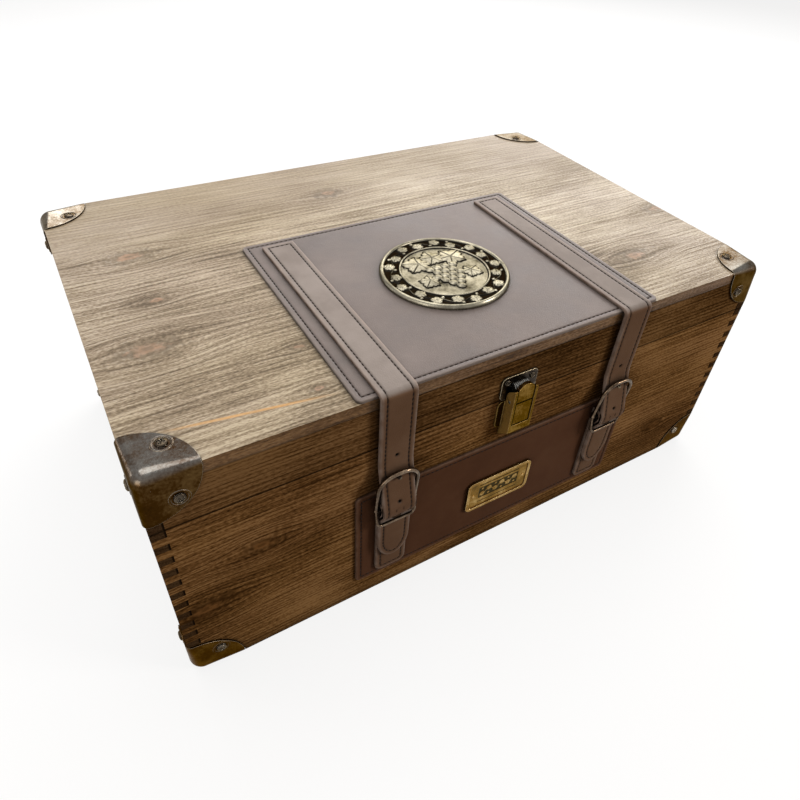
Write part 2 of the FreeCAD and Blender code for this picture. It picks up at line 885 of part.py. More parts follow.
def hinge_leaf_solid(x, side, own):
    """Leaf on the lid (side 1) or the base (side -1) with its knuckles."""
    half = hinge_width / 2
    barrel_y = back_y + hinge_axis_out
    gap = hinge_gap / 2
    clear_r = hinge_barrel_r + hinge_gap
    ends = sorted((hinge_z + side * gap, hinge_z + side * hinge_leaf_height))
    leaf_plate = back_block(x - half, x + half, 0, hinge_leaf, *ends)
    knuckles = []
    for x0, x1 in knuckle_spans(x, own):
        first = x0 + gap if x0 > x - half else x0
        last = x1 - gap if x1 < x + half else x1
        knuckles.append(rod_x(first, last, barrel_y, hinge_z, hinge_barrel_r))
    others = knuckle_spans(x, 1 - own)
    notches = [rod_x(x0 - gap, x1 + gap, barrel_y, hinge_z, clear_r) for x0, x1 in others]
    bore_r = hinge_pin_r + hinge_pin_clearance
    bore = rod_x(x - half - overrun, x + half + overrun, barrel_y, hinge_z, bore_r)
    solid = leaf_plate.fuse(knuckles).cut(Part.makeCompound(notches + [bore]))
    seats = hinge_seats(hinge_z + side * hinge_screw_drop)
    return one_solid(drilled(solid, seats, hinge_screw_shank_r, screw_grip))


def hinge_pin(x):
    """Pin through the knuckles with a flat head at each end."""
    half = hinge_width / 2
    barrel_y = back_y + hinge_axis_out
    gap = hinge_pin_clearance
    pin = rod_x(x - half - gap, x + half + gap, barrel_y, hinge_z, hinge_pin_r)
    heads = [
        rod_x(x - half - gap - hinge_pin_head, x - half - gap, barrel_y, hinge_z, hinge_pin_head_r),
        rod_x(x + half + gap, x + half + gap + hinge_pin_head, barrel_y, hinge_z, hinge_pin_head_r),
    ]
    return one_solid(pin.fuse(heads))


def hinges():
    solids = {}
    for side, x in (("left", -hinge_x), ("right", hinge_x)):
        solids["hinge_%s_base_leaf" % side] = hinge_leaf_solid(x, -1, 0)
        solids["hinge_%s_lid_leaf" % side] = hinge_leaf_solid(x, 1, 1)
        solids["hinge_%s_pin" % side] = hinge_pin(x)
    kind = (hinge_screw_r, hinge_screw_height, hinge_screw_shank_r, screw_grip)
    solids["hinge_base_screws"] = screw_group(hinge_seats(hinge_z - hinge_screw_drop), *kind)
    solids["hinge_lid_screws"] = screw_group(hinge_seats(hinge_z + hinge_screw_drop), *kind)
    return solids


# Medallion and name plate

def medallion():
    """Turned disc with a raised rim, a ring and a low centre boss."""
    ring_in = medallion_ring_r - medallion_ring_width
    rim_in = medallion_r - medallion_rim_width
    steps = [
        (0, 0), (medallion_r, 0), (medallion_r, medallion_rim_height),
        (rim_in, medallion_rim_height), (rim_in, medallion_floor),
        (medallion_ring_r, medallion_floor), (medallion_ring_r, medallion_ring_height),
        (ring_in, medallion_ring_height), (ring_in, medallion_floor),
        (medallion_boss_r, medallion_floor), (0, medallion_boss_height), (0, 0),
    ]
    outline = Part.makePolygon([Vec(r, 0, h) for r, h in steps])
    disc = Part.Face(outline).revolve(Vec(0, 0, 0), Z_AXIS, 360)
    disc.translate(Vec(badge_shift, front_y + top_panel_depth / 2, strap_lie_z))
    return disc


def plate_seats():
    """Seats of the name plate's two rivets, in its pocket."""
    reach = plate_width / 2 - plate_rivet_inset
    out = panel_thickness + plate_thickness - plate_pocket
    return [(front(badge_shift + side * reach, out, plate_centre_height), Y_AXIS * -1) for side in (-1, 1)]


def name_plate():
    """Plain plate with a raised rim."""
    half = plate_width / 2
    rise = plate_height / 2
    out = panel_thickness + plate_thickness
    low, high = plate_centre_height - rise, plate_centre_height + rise
    x0, x1 = badge_shift - half, badge_shift + half
    blank = rounded(front_block(x0, x1, panel_thickness, out, low, high), Y_AXIS, plate_round)
    pocket = front_block(
        x0 + plate_rim, x1 - plate_rim, out - plate_pocket, out + overrun,
        low + plate_rim, high - plate_rim,
    )
    pocket = rounded(pocket, Y_AXIS, plate_round - plate_rim)
    grip = plate_thickness - plate_pocket
    return one_solid(drilled(blank.cut(pocket), plate_seats(), latch_screw_shank_r, grip))


def trim():
    grip = plate_thickness - plate_pocket
    rivets = screw_group(plate_seats(), plate_rivet_r, plate_rivet_height, latch_screw_shank_r, grip)
    return {"medallion": medallion(), "name_plate": name_plate(), "name_plate_rivets": rivets}


def main():
    os.makedirs("parts", exist_ok=True)
    groups = [
        base_boards(), lid_boards(), corners(), panels(), strap_sets(), latch(), hinges(), trim(),
    ]
    for group in groups:
        for name, shape in group.items():
            shape.exportStep("parts/%s.step" % name)


main()
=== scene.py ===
import math

import bpy
import numpy as np
from mathutils import Matrix, Vector


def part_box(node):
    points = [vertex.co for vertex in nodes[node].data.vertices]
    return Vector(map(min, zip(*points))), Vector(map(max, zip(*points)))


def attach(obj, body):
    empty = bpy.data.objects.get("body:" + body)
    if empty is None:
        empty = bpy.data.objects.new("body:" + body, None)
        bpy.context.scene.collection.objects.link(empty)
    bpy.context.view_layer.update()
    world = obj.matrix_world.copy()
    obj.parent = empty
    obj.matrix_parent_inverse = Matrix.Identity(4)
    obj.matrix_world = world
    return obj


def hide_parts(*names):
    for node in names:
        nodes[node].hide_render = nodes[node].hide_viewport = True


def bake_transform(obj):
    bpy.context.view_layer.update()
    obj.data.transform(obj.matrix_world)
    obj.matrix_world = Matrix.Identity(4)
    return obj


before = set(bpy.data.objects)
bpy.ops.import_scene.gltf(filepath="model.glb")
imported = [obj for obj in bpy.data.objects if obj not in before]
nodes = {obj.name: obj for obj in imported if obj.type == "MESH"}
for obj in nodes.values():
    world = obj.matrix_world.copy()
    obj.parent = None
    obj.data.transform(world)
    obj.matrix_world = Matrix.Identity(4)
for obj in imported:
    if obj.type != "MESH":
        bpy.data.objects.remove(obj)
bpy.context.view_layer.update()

mm = 0.001

# Camera: its place, where it looks and how far it leans, in metres and degrees
camera_place = (-0.24775, -0.40332, 0.45966)
camera_azimuth = 33.672
camera_dip = 40.627
camera_roll = 4.460
camera_lens = 28.72
camera_shift = (-0.0148, -0.0267)

# Lights: place, target, width and height in metres, watts and colour
lights = {
    "key_light": ((1.4, 1.45, 1.35), (0.0, 0.0, 0.2), (2.0, 1.4), 35.0, (1.0, 0.99, 0.98)),
    "top_light": ((-0.1, 0.3, 1.7), (-0.05, 0.0, 0.2), (1.6, 1.2), 21.0, (1.0, 0.98, 0.95)),
    "back_light": ((1.55, 1.25, 0.75), (0.05, 0.0, 0.2), (1.8, 0.9), 12.0, (1.0, 0.99, 0.98)),
    "rim_light": ((-0.2, 1.6, 0.9), (-0.2, 0.1, 0.2), (0.45, 0.35), 5.0, (1.0, 1.0, 1.0)),
    "edge_light": ((-1.3, 1.0, 0.30), (-0.2, 0.0, 0.2), (0.5, 0.3), 2.5, (1.0, 1.0, 1.0)),
    "left_light": ((-1.4, -0.7, 0.6), (0.0, 0.0, 0.15), (0.7, 0.7), 4.5, (1.0, 0.96, 0.90)),
    "front_light": ((2.6, -2.2, 1.7), (-0.1, -0.1, 0.1), (1.0, 1.0), 60.0, (1.0, 0.95, 0.88)),
}
room_colour, room_strength = (1.0, 0.82, 0.62), 0.10
floor_half = 6.0
floor_glow, floor_matte, floor_bounce = (0.84, 0.84, 0.84), (0.16, 0.16, 0.16), (0.14, 0.092, 0.052)

# Case
case_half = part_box("lid_top_board")[1]
case_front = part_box("base_front_board")[0].y
lid_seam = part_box("lid_front_rail")[0].z
top_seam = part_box("lid_front_rail")[1].z
finger_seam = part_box("base_right_board")[0].x
board_bevel = 0.5 * mm

# Leather: edges, pressed stitch line and thread
leather_edge_r = 0.9 * mm
# Width of the paler edge band: wear and a painted highlight
pale_edge_width = 1.5 * mm
stitch_inset = 4.0 * mm
stitch_pitch = 3.9 * mm
stitch_length = 2.9 * mm
stitch_r = 0.42 * mm
groove_depth = 0.45 * mm
groove_half = 0.6 * mm
panel_thickness = 2.0 * mm
panel_corner = 4.0 * mm
panel_step = 20.0 * mm

# Leather's grid: steps in from an edge, steps about a hole and the eight points round it
edge_steps = np.array([0, 0.12, 0.4, 0.8, 1.3, 2.4, 3.2, 3.6, 4.0, 4.4, 4.8, 5.8, 8.0]) * mm
hole_steps = np.array([-2.4, -1.7, -0.9, 0.0, 0.9, 1.7, 2.4]) * mm
hole_ring = ((-1, -1), (-1, 0), (-1, 1), (0, 1), (1, 1), (1, 0), (1, -1), (0, -1))
hole_clear = 2.9 * mm
grid_step = 6.0 * mm
least_step = 0.1 * mm
outline_step = 0.5 * mm

# Strap's back face: how far out from the case's front and how high each bend is, and the rounds there
strap_bends = np.array([(-188.0, 207.2), (2.5, 207.2), (2.5, 147.2), (10.8, 111.0), (10.8, 105.0),
                        (4.8, 94.5), (4.8, 48.5)]) * mm
strap_rounds = np.array([2.5, 30.0, 5.0, 5.0, 5.0]) * mm
strap_thickness = 2.5 * mm
strap_hole_r = 1.3 * mm
strap_tip_length = 20.0 * mm
strap_end_corner = 1.0 * mm
strap_drape_height = 161.2 * mm
strap_lift_height = 152.7 * mm
strap_spare_hole = 154.8 * mm
strap_tail_holes = (137.6 * mm, 115.1 * mm)
strap_axes = ((1, 0, 0), (0, -1, 0), (0, 0, 1))
front_axes = ((1, 0, 0), (0, 0, -1), (0, -1, 0))

# Lower strap: foot, the turn round the buckle's bar, and the lap back down behind the buckle
lower_foot = 30.0 * mm
lower_corner = 6.0 * mm
lower_out = 2.0 * mm
lower_thickness = 2.4 * mm
bar_out = 6.2 * mm
bar_height = 108.0 * mm
turn_r = 4.2 * mm
turn_drop = 6.0 * mm
lap_curve = ((2.4 * mm, 4.0 * mm), (0.6 * mm, 8.0 * mm))
lap_foot = 97.0 * mm
slot_half = 2.8 * mm

# Screws: radius and height of the heads, and where they sit
corner_head = (3.5 * mm, 1.9 * mm)
latch_head = (2.3 * mm, 1.3 * mm)
hinge_head = (2.6 * mm, 1.2 * mm)
corner_reach = 20.5 * mm
leaf = 1.2 * mm
latch_screws_x = (-9.5 * mm, 11.5 * mm)
latch_screws_z = 178.0 * mm
hinge_screws_x = (-165.5 * mm, -134.5 * mm, 134.5 * mm, 165.5 * mm)
hinge_base_z = 151.95 * mm
hinge_lid_z = 172.45 * mm
head_steps = 36
head_wall = 0.35
cross_wide, cross_long, cross_deep, cross_slope = 0.17, 0.60, 0.42, 0.1

# Medallion, in millimetres: a round bar is its middle radius, half width and height
medallion_middle = (0.4 * mm, -64.0 * mm)
disc_r, disc_floor, field_r, face_r = 49.5, 1.7, 33.0, 46.2
field_shade, rim_shade = 0.62, 0.8
rim_bar, ring_bar = (47.6, 2.0, 3.4), (34.0, 1.3, 3.0)
vine_r, vine_inner, vine_swing, vine_half, vine_rise, vine_leaves = 40.6, 36.0, 2.2, 0.9, 2.5, 18
vine_leaf_out, vine_leaf_size, vine_leaf_rise = 1.5, 5.8, 1.7
berry_out, berry_lead, berry_r, berry_rise = 3.2, 0.09, 1.6, 1.6
grape_rows, grape_gap, grape_drop, grape_top = (4, 3, 4, 3, 2, 1), 6.8, 5.6, 5.0
grape_r, grape_rise = 3.8, 2.2
fruit_base, leaf_base, centre_leaf_rise = 1.5, 1.6, 2.0
centre_leaves = ((-14.5, 14.5, 2.6, 13.5), (14.5, 14.5, 0.54, 13.5), (0.0, 18.5, 1.57, 11.5),
                 (-18.0, -8.5, 3.9, 9.5), (18.0, -8.5, -0.76, 9.5))

# Plate's field: a sunk band with a vine, between two rules
plate_rim = 2.4 * mm
plate_pocket = 1.0 * mm
plate_level, plate_sunk, plate_stem = 0.30 * mm, 0.10 * mm, 0.38 * mm
band_half, band_rise, band_middle = 19.0 * mm, 6.0 * mm, 1.5 * mm
rule_heights, rule_half = (-9.0 * mm, 10.5 * mm), 0.45 * mm
stem_half, stem_reach, stem_swing = 0.5 * mm, 18.0 * mm, 2.2 * mm
plate_leaves, plate_leaf_start, plate_leaf_gap = 6, -15.8 * mm, 6.33 * mm
plate_leaf_out, plate_leaf_turn, plate_leaf_size, plate_leaf_rise = 1.6 * mm, 1.3, 3.6 * mm, 0.35 * mm
plate_berry_out, plate_berry_r, plate_berry_rise = 3.9 * mm, 1.2 * mm, 0.4 * mm


class Value:
    """A value in a shader tree, for plain sums."""

    def __init__(self, look, socket):
        self.look, self.socket = look, socket

    def __add__(self, other):
        return self.look.math("ADD", self, other)

    def __sub__(self, other):
        return self.look.math("SUBTRACT", self, other)

    def __mul__(self, other):
        return self.look.math("MULTIPLY", self, other)

    def __abs__(self):
        return self.look.math("ABSOLUTE", self, 0.0)


class Look:
    """A shader tree and short calls that add its nodes."""

    def __init__(self, owner):
        owner.use_nodes = True
        self.owner, self.tree = owner, owner.node_tree

    def put(self, socket, value):
        if isinstance(value, Value):
            self.tree.links.new(value.socket, socket)
        else:
            socket.default_value = (*value, 1.0) if socket.type == "RGBA" else value

    def fill(self, node, inputs, out=0):
        for name, value in dict(inputs).items():
            self.put(node.inputs[name], value)
        return Value(self, node.outputs[out])

    def add(self, kind, out=0, inputs=(), **settings):
        node = self.tree.nodes.new("ShaderNode" + kind)
        for name, value in settings.items():
            setattr(node, name, value)
        return self.fill(node, inputs, out)

    def spot(self):
        return self.add("TexCoord", "Object")

    def facing(self):
        return self.add("TexCoord", "Normal")

    def split(self, vector):
        return [self.add("SeparateXYZ", axis, {0: vector}) for axis in "XYZ"]

    def join(self, x, y, z):
        return self.add("CombineXYZ", 0, {0: x, 1: y, 2: z})

    def math(self, operation, first, second):
        return self.add("Math", 0, {0: first, 1: second}, operation=operation)

    def most(self, total, *values):
        for value in values:
            total = self.math("MAXIMUM", total, value)
        return total

    def vector(self, operation, first, second=(0.0, 0.0, 0.0)):
        return self.add("VectorMath", "Value", {0: first, 1: second}, operation=operation)

    def noise(self, vector, scale, detail=2.0, roughness=0.5):
        inputs = {"Vector": vector, "Scale": scale, "Detail": detail, "Roughness": roughness}
        return self.add("TexNoise", "Fac", inputs)

    def cells(self, vector, scale):
        inputs = {"Vector": vector, "Scale": scale}
        return self.add("TexVoronoi", "Distance", inputs, feature="DISTANCE_TO_EDGE")

    def attribute(self, name):
        return self.add("Attribute", "Fac", attribute_name=name)

    def span(self, value, low, high, to_low=0.0, to_high=1.0):
        inputs = {"Value": value, "From Min": low, "From Max": high, "To Min": to_low, "To Max": to_high}
        return self.add("MapRange", "Result", inputs, interpolation_type="SMOOTHSTEP")

    def ramp(self, value, *stops):
        node = self.tree.nodes.new("ShaderNodeValToRGB")
        elements = node.color_ramp.elements
        while len(elements) < len(stops):
            elements.new(1.0)
        for element, (place, colour) in zip(elements, stops):
            element.position = place
            element.color = (*colour, 1.0)
        return self.fill(node, {"Fac": value}, "Color")

    def mix(self, share, first, second, blend="MIX"):
        return self.add("Mix", 2, {0: share, 6: first, 7: second}, data_type="RGBA", blend_type=blend)

    def bump(self, height, depth, strength, under=None):
        inputs = {"Height": height, "Distance": depth, "Strength": strength}
        if under:
            inputs["Normal"] = under
        return self.add("Bump", "Normal", inputs)

    def open_air(self, reach, samples):
        return self.add("AmbientOcclusion", "AO", {"Distance": reach}, samples=samples)

    def contact_shaded(self, colour, reach, least):
        """Colour darkened where other pieces stand close: painted contact shade."""
        level = self.span(self.open_air(reach, 6), 0.45, 0.95, least, 1.0)
        return self.mix(1.0, colour, self.join(level, level, level), "MULTIPLY")

    def seen(self):
        """One on rays that come from the camera, a mirror or a glass."""
        rays = ("Is Camera Ray", "Is Glossy Ray", "Is Transmission Ray")
        return self.most(*(self.add("LightPath", ray) for ray in rays))

    def surface(self, inputs):
        self.fill(self.tree.nodes["Principled BSDF"], inputs)
        return self.owner


def material_look(name):
    return Look(bpy.data.materials.new(name))


# Wood
class Pine(Look):
    """Brushed pine: a runs along the board's grain, b across its breadth and c through it."""

    stain_places = (0.18, 0.40, 0.55, 0.80)
    end_grain = (0.034, 0.017, 0.007)
    amber = (0.60, 0.33, 0.12)
    # Colour of the painted shade in seams and on chamfered edges
    seam_shadow_colour = (0.008, 0.005, 0.003)

    def __init__(self, name, axes, fine, seed):
        super().__init__(bpy.data.materials.new(name))
        self.fine, self.seed = fine, seed
        self.along, across = ("XYZ".index(letter) for letter in axes)
        self.face, self.spots = self.split(self.facing()), self.split(self.spot())
        self.a, self.b = self.spots[self.along], self.spots[across]
        self.c = self.spots[3 - self.along - across]
        wander = self.noise(self.join(self.a * 3.0, self.b * 8.0, seed), 1.0)
        self.bent = self.b + (wander - 0.5) * (6.0 * mm)
        self.heart = self.core = self.rind = self.halo = 0.0

    def grain(self, along_scale, across_scale):
        """Place on the board, drawn out along its grain."""
        return self.join(self.a * along_scale + self.seed, self.bent * across_scale, self.c * across_scale)

    def add_knots(self, knots):
        """Grain bent round each knot, and the knots' hearts, cores, rinds and halos."""
        ragged = self.span(self.noise(self.spot(), 200.0, 3.0), 0.25, 0.75, 0.6, 1.5)
        for knot_a, knot_b, radius in knots:
            from_b = self.b - knot_b
            distance = self.vector("LENGTH", self.join((self.a - knot_a) * 0.5, from_b, 0.0))
            self.bent = self.bent - from_b * self.span(distance, radius * 5.0, radius * 0.6) * 0.65
            torn = distance * ragged
            self.heart = self.most(self.heart, self.span(torn, radius * 0.9, radius * 0.4))
            self.core = self.most(self.core, self.span(torn, radius * 0.35, radius * 0.15))
            self.rind = self.most(self.rind, self.span(torn, radius * 2.0, radius * 0.9))
            self.halo = self.most(self.halo, self.span(distance, radius * 6.0, radius))

    def add_grain(self, glare_fade):
        """Height of the brushed lines, and one shade of tone, streaks, fibres, pores and late wood."""
        fine = self.fine
        tone = self.noise(self.grain(11.0, 18.0), 1.0, 3.0)
        self.streak = self.noise(self.grain(13.0 / fine, 340.0 * fine), 1.0, 2.0, 0.6)
        self.fibre = self.noise(self.grain(36.0, 800.0 * fine), 1.0, 2.0, 0.6)
        pore = self.noise(self.grain(380.0, 950.0), 1.0, 1.0)
        drift = self.noise(self.grain(1.3, 26.0), 1.0, 1.0)
        ring = self.math("FRACT", (self.bent + self.c * 0.4) * (200.0 * fine) + drift * 4.0, 0.0)
        late = self.span(ring, 0.40, 0.88) * self.span(ring, 1.0, 0.92)
        lines = (self.streak - 0.5) * (0.9 / fine) + (self.fibre - 0.5) * 0.8 + (pore - 0.5) * 0.8
        self.lines = lines - (late - 0.5) * (0.15 * fine)
        broad = (tone - 0.5) * (0.82 * fine) - self.halo * 0.09
        self.shade = (broad + self.lines) * glare_fade + 0.50

    def stained(self, stops, edge, heartwood):
        """Stain by shade, with a darker, shaded copy of the stain on upright edges as painted shade, and the
        knots' own colours.
        """
        colour = self.ramp(self.shade, *zip(self.stain_places, stops))
        if edge:
            upright = self.span(abs(self.face[2]), 0.8, 0.4)
            colour = self.mix(upright, colour, self.ramp(self.shade, *zip(self.stain_places, edge)))
        hue = self.span(self.noise(self.grain(6.0, 16.0), 1.0, 2.0), 0.36, 0.64)
        tint = self.ramp(hue, (0.0, (0.80, 0.74, 0.80)), (1.0, (1.0, 0.97, 0.70)))
        colour = self.mix(0.2, colour, tint, "MULTIPLY")
        colour = self.mix(self.span(self.streak, 0.3, 0.7, 0.25, 0.75) * self.rind, colour, stops[0])
        colour = self.mix(self.span(self.fibre, 0.3, 0.7, 0.3, 0.85) * self.heart, colour, heartwood)
        return self.mix(self.core * 0.45, colour, stops[0])

    def resined(self, colour, streaks):
        """Colour with amber streaks that lean a little off the grain."""
        for start, end, place, half in streaks:
            off = abs(self.b - (self.a - start) * -0.15 - place)
            run = self.span(self.a, start, start + 0.03) * self.span(self.a, end, end - 0.04)
            share = run * self.span(off, half, half * 0.3) * self.span(self.fibre, 0.3, 0.6, 0.4, 0.8)
            colour = self.mix(share, colour, self.amber)
        return colour

    def creased(self, colour, seam, edge):
        """Colour with dark end grain, and painted shade on chamfered edges and in the lines where boards
        meet.
        """
        end = abs(self.face[self.along])
        cut = self.span(end, 0.7, 0.95)
        colour = self.mix(cut * 0.7, colour, self.end_grain)
        edge_and_seam_shade = self.span(self.most(*(abs(side) for side in self.face)), 0.985, 0.90)
        if edge:
            edge_and_seam_shade = edge_and_seam_shade * self.most(self.span(self.face[2], 0.3, 0.1), self.span(end, 0.15, 0.3))
        for height, share in ((lid_seam, 0.7), (top_seam, 0.5)):
            line = self.span(abs(self.spots[2] - height), 1.1 * mm, 0.5 * mm)
            edge_and_seam_shade = self.most(edge_and_seam_shade, line * share)
        if seam:
            edge_and_seam_shade = self.most(edge_and_seam_shade, cut * self.span(abs(self.c), seam + 1.6 * mm, seam + 0.8 * mm))
        return self.mix(edge_and_seam_shade * 0.88, colour, self.seam_shadow_colour)


def wood(name, stops, heartwood, gloss, axes, fine, knots=(), streaks=(), seam=None, edge=None, seed=0.0):
    """Stained pine board.

    Axes are the board's grain and its breadth. Knots are (place along, place across, radius) and resin
    streaks (start, end, place across, half width), in metres. A seam is the place, on the third axis, where
    a side board's fingers end. Edge stops stain the upright edges of a lying board in a darker, shaded copy
    of the stain, as painted shade, and its grain is plainer towards its far corner, as painted glare.
    """
    look = Pine(name, axes, fine, seed)
    look.add_knots(knots)
    # Grain contrast fades towards a lying board's far corner: painted glare
    glare_fade = 1.0
    if edge:
        glare_fade = look.span(look.b, 0.0, 0.13, 1.0, 0.40) * look.span(look.a, 0.05, 0.20, 1.0, 0.70)
    look.add_grain(glare_fade)
    colour = look.resined(look.stained(stops, edge, heartwood), streaks)
    return look.surface({
        # Base colour with painted contact shade near other pieces
        "Base Color": look.contact_shaded(look.creased(colour, seam, edge), 16.0 * mm, 0.35),
        "Roughness": look.span(look.shade, 0.3, 0.65, 0.62, 0.44),
        "Specular IOR Level": gloss,
        "Normal": look.bump(look.lines, 0.5 * mm, 0.6),
    })


# Leather, thread and metal
def leather(name, deep, middle, pale, worn_lit_lip, gloss, lit_lying=None):
    """Waxed leather, paler along its cut edges, which are worn and carry a painted highlight, and darker in
    the stitch line.

    The lying pair is a paler, greyer pair of colours for the parts that lie flat: painted top light and
    sheen.
    """
    look = material_look(name)
    spot = look.spot()
    mottle = look.noise(spot, 26.0, 5.0, 0.6)
    fold = look.span(look.cells(spot, 34.0), 0.02, 0.0)
    shade = mottle * 0.55 + look.noise(spot, 7.0, 3.0) * 0.45
    colour = look.ramp(shade, (0.34, deep), (0.50, middle), (0.66, pale))
    colour = look.mix(fold * look.span(mottle, 0.45, 0.7, 0.0, 0.3), colour, pale)
    lying = look.span(look.split(look.facing())[2], 0.3, 0.9)
    # Paler, greyer colours on parts that lie flat: painted top light and sheen
    if lit_lying:
        colour = look.mix(lying, colour, look.mix(look.span(shade, 0.38, 0.62), *lit_lying))
    # Paler edges: wear and a painted highlight
    ragged = look.span(look.noise(spot, 120.0, 3.0), 0.3, 0.7, 0.4, 1.0)
    colour = look.mix(look.attribute("edge") * ragged, colour, worn_lit_lip)
    colour = look.mix(look.attribute("groove") * 0.55, colour, (0.012, 0.007, 0.005))
    grain = look.cells(spot, 760.0) * 0.9 + look.noise(spot, 210.0, 4.0, 0.6) * 0.8
    return look.surface({
        # Base colour with painted contact shade near other pieces
        "Base Color": look.contact_shaded(colour, 7.0 * mm, 0.25),
        "Roughness": look.span(mottle, 0.3, 0.7, 0.56, 0.70) - lying * 0.14,
        "Specular IOR Level": gloss,
        "Normal": look.bump(grain, 0.35 * mm, 0.45),
    })


def thread(name):
    """Waxed sewing thread."""
    look = material_look(name)
    twist = look.noise(look.spot(), 1500.0, 2.0)
    return look.surface({
        "Base Color": look.ramp(twist, (0.3, (0.010, 0.006, 0.005)), (0.7, (0.032, 0.020, 0.015))),
        "Roughness": look.span(twist, 0.2, 0.8, 0.6, 0.8),
        "Specular IOR Level": 0.1,
        "Normal": look.bump(twist, 0.2 * mm, 0.5),
    })


def metal(name, bright, dull, dark, wear_scale, rough, edge=0.5 * mm, relief=None, rubbed_lit_top=None,
          worn_lit_lip=None, edge_share=0.9, corner_shade_and_patina=0.35, reach=4.0 * mm, plate=None, side_reflection=None, lines=(),
          tint=(1.0, 0.96, 0.90)):
    """Aged metal: paler on faces that look up and along its edges, dark in corners and in low relief.

    The rubbed top colour is that of faces that look up: painted top light, with rubbed wear. The lip is the
    colour of the edges, worn and with a painted highlight, laid on by a share. The corner darkening is how
    much darker a corner is than an open face, within a reach: painted shade from occlusion, and in low
    relief dark patina. Behind plate a housing's back is dark, and the side reflection is the colour of its
    sides, paler and
    less metallic: a painted reflection. Lines are painted shade in gaps and grooves, each with an axis, a
    place and a half width.
    """
    look = material_look(name)
    spot = look.spot()
    places, faces = look.split(spot), look.split(look.facing())
    patch = look.noise(spot, wear_scale, 5.0, 0.65)
    speck = look.noise(spot, wear_scale * 14.0, 3.0, 0.6)
    rounded = look.add("Bevel", "Normal", {"Radius": edge}, samples=6)
    # Darker in corners by occlusion, as painted shade; on relief pieces darker in low relief, as dark patina
    open_air = look.span(look.attribute(relief), 0.25, 0.75) if relief else look.open_air(reach, 8)
    shade = patch * 0.7 + speck * 0.3 + (open_air - 1.0) * corner_shade_and_patina
    colour = look.ramp(shade, (0.22, dark), (0.46, dull), (0.72, bright))
    # Paler faces that look up: painted top light, with rubbed wear
    if rubbed_lit_top:
        pale = look.mix(look.span(shade, 0.3, 0.7), dull, rubbed_lit_top)
        colour = look.mix(look.span(faces[2], 0.35, 0.95), colour, pale)
    if plate:
        colour = look.mix(look.span(places[1], plate - 0.2 * mm, plate), colour, dark)
    # Paler edges: wear and a painted highlight
    if not relief:
        turn = look.vector("DOT_PRODUCT", rounded, look.add("NewGeometry", "Normal"))
        colour = look.mix(look.span(turn, 0.985, 0.85, 0.0, edge_share), colour, worn_lit_lip or bright)
    polish = 1.0
    # Paler, less metallic sides: a painted reflection
    if side_reflection:
        sideways = look.span(abs(faces[0]), 0.6, 0.9)
        colour = look.mix(sideways, colour, look.mix(look.span(shade, 0.2, 0.6), dull, side_reflection))
        polish = look.span(sideways, 0.0, 1.0, 1.0, 0.25)
    # Painted shade lines in gaps and grooves
    for axis, place, half in lines:
        colour = look.mix(look.span(abs(places[axis] - place), half, 0.6 * half), colour, dark)
    uneven = look.noise(spot, wear_scale * 40.0, 2.0) + patch * 0.8
    return look.surface({
        "Base Color": colour,
        "Metallic": polish,
        "Specular Tint": tint,
        "Roughness": look.span(shade, 0.3, 0.65, rough + 0.12, rough),
        "Normal": look.bump(uneven, 0.12 * mm, 0.3, rounded),
    })


# Meshes
def mesh_object(name, points, faces, material, smooth_angle=40.0, fields=()):
    """New object from points and faces, with number fields on its points."""
    mesh = bpy.data.meshes.new(name)
    mesh.from_pydata([tuple(p) for p in points], [], faces)
    for field, values in dict(fields).items():
        layer = mesh.attributes.new(field, "FLOAT", "POINT")
        layer.data.foreach_set("value", np.asarray(values, np.float32))
    mesh.validate()
    mesh.polygons.foreach_set("use_smooth", [True] * len(mesh.polygons))
    mesh.set_sharp_from_angle(angle=math.radians(smooth_angle))
    mesh.materials.append(material)
    obj = bpy.data.objects.new(name, mesh)
    bpy.context.scene.collection.objects.link(obj)
    return obj


def finish_piece(obj, slot_name, *replaced):
    if replaced:
        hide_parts(*replaced)
    return obj


def grid_faces(rows, columns, start=0):
    """Faces of a grid of points that are numbered row by row."""
    corners = [start + i * columns + j for i in range(rows - 1) for j in range(columns - 1)]
    return [[k, k + columns, k + columns + 1, k + 1] for k in corners]


def rim_loop(rows, columns):
    """Points round a grid, along its first row first."""
    loop = list(range(columns))
    loop += [i * columns + columns - 1 for i in range(1, rows)]
    loop += [(rows - 1) * columns + j for j in range(columns - 2, -1, -1)]
    return loop + [i * columns for i in range(rows - 2, 0, -1)]


def skin_faces(rows, columns, holes):
    """Faces of two like grids, upper then lower, open at the holes and joined round all rims."""
    count = rows * columns
    shut = {(i + a) * columns + j + b for i, j in holes for a in (-1, 0) for b in (-1, 0)}
    faces = []
    for cell in grid_faces(rows, columns):
        if cell[0] not in shut:
            faces += [cell, [count + k for k in reversed(cell)]]
    rings = [[(i + di) * columns + j + dj for di, dj in hole_ring] for i, j in holes]
    for loop in [rim_loop(rows, columns)] + [ring[::-1] for ring in rings]:
        for here, there in zip(loop, loop[1:] + loop[:1]):
            faces.append([here, there, count + there, count + here])
    return faces


def run_along(line):
    """Length of a line up to each of its points."""
    return np.concatenate([[0.0], np.cumsum(np.linalg.norm(np.diff(line, axis=0), axis=1))])


def point_along(line, runs, run):
    return np.stack([np.interp(run, runs, line[:, k]) for k in (0, 1)], -1)


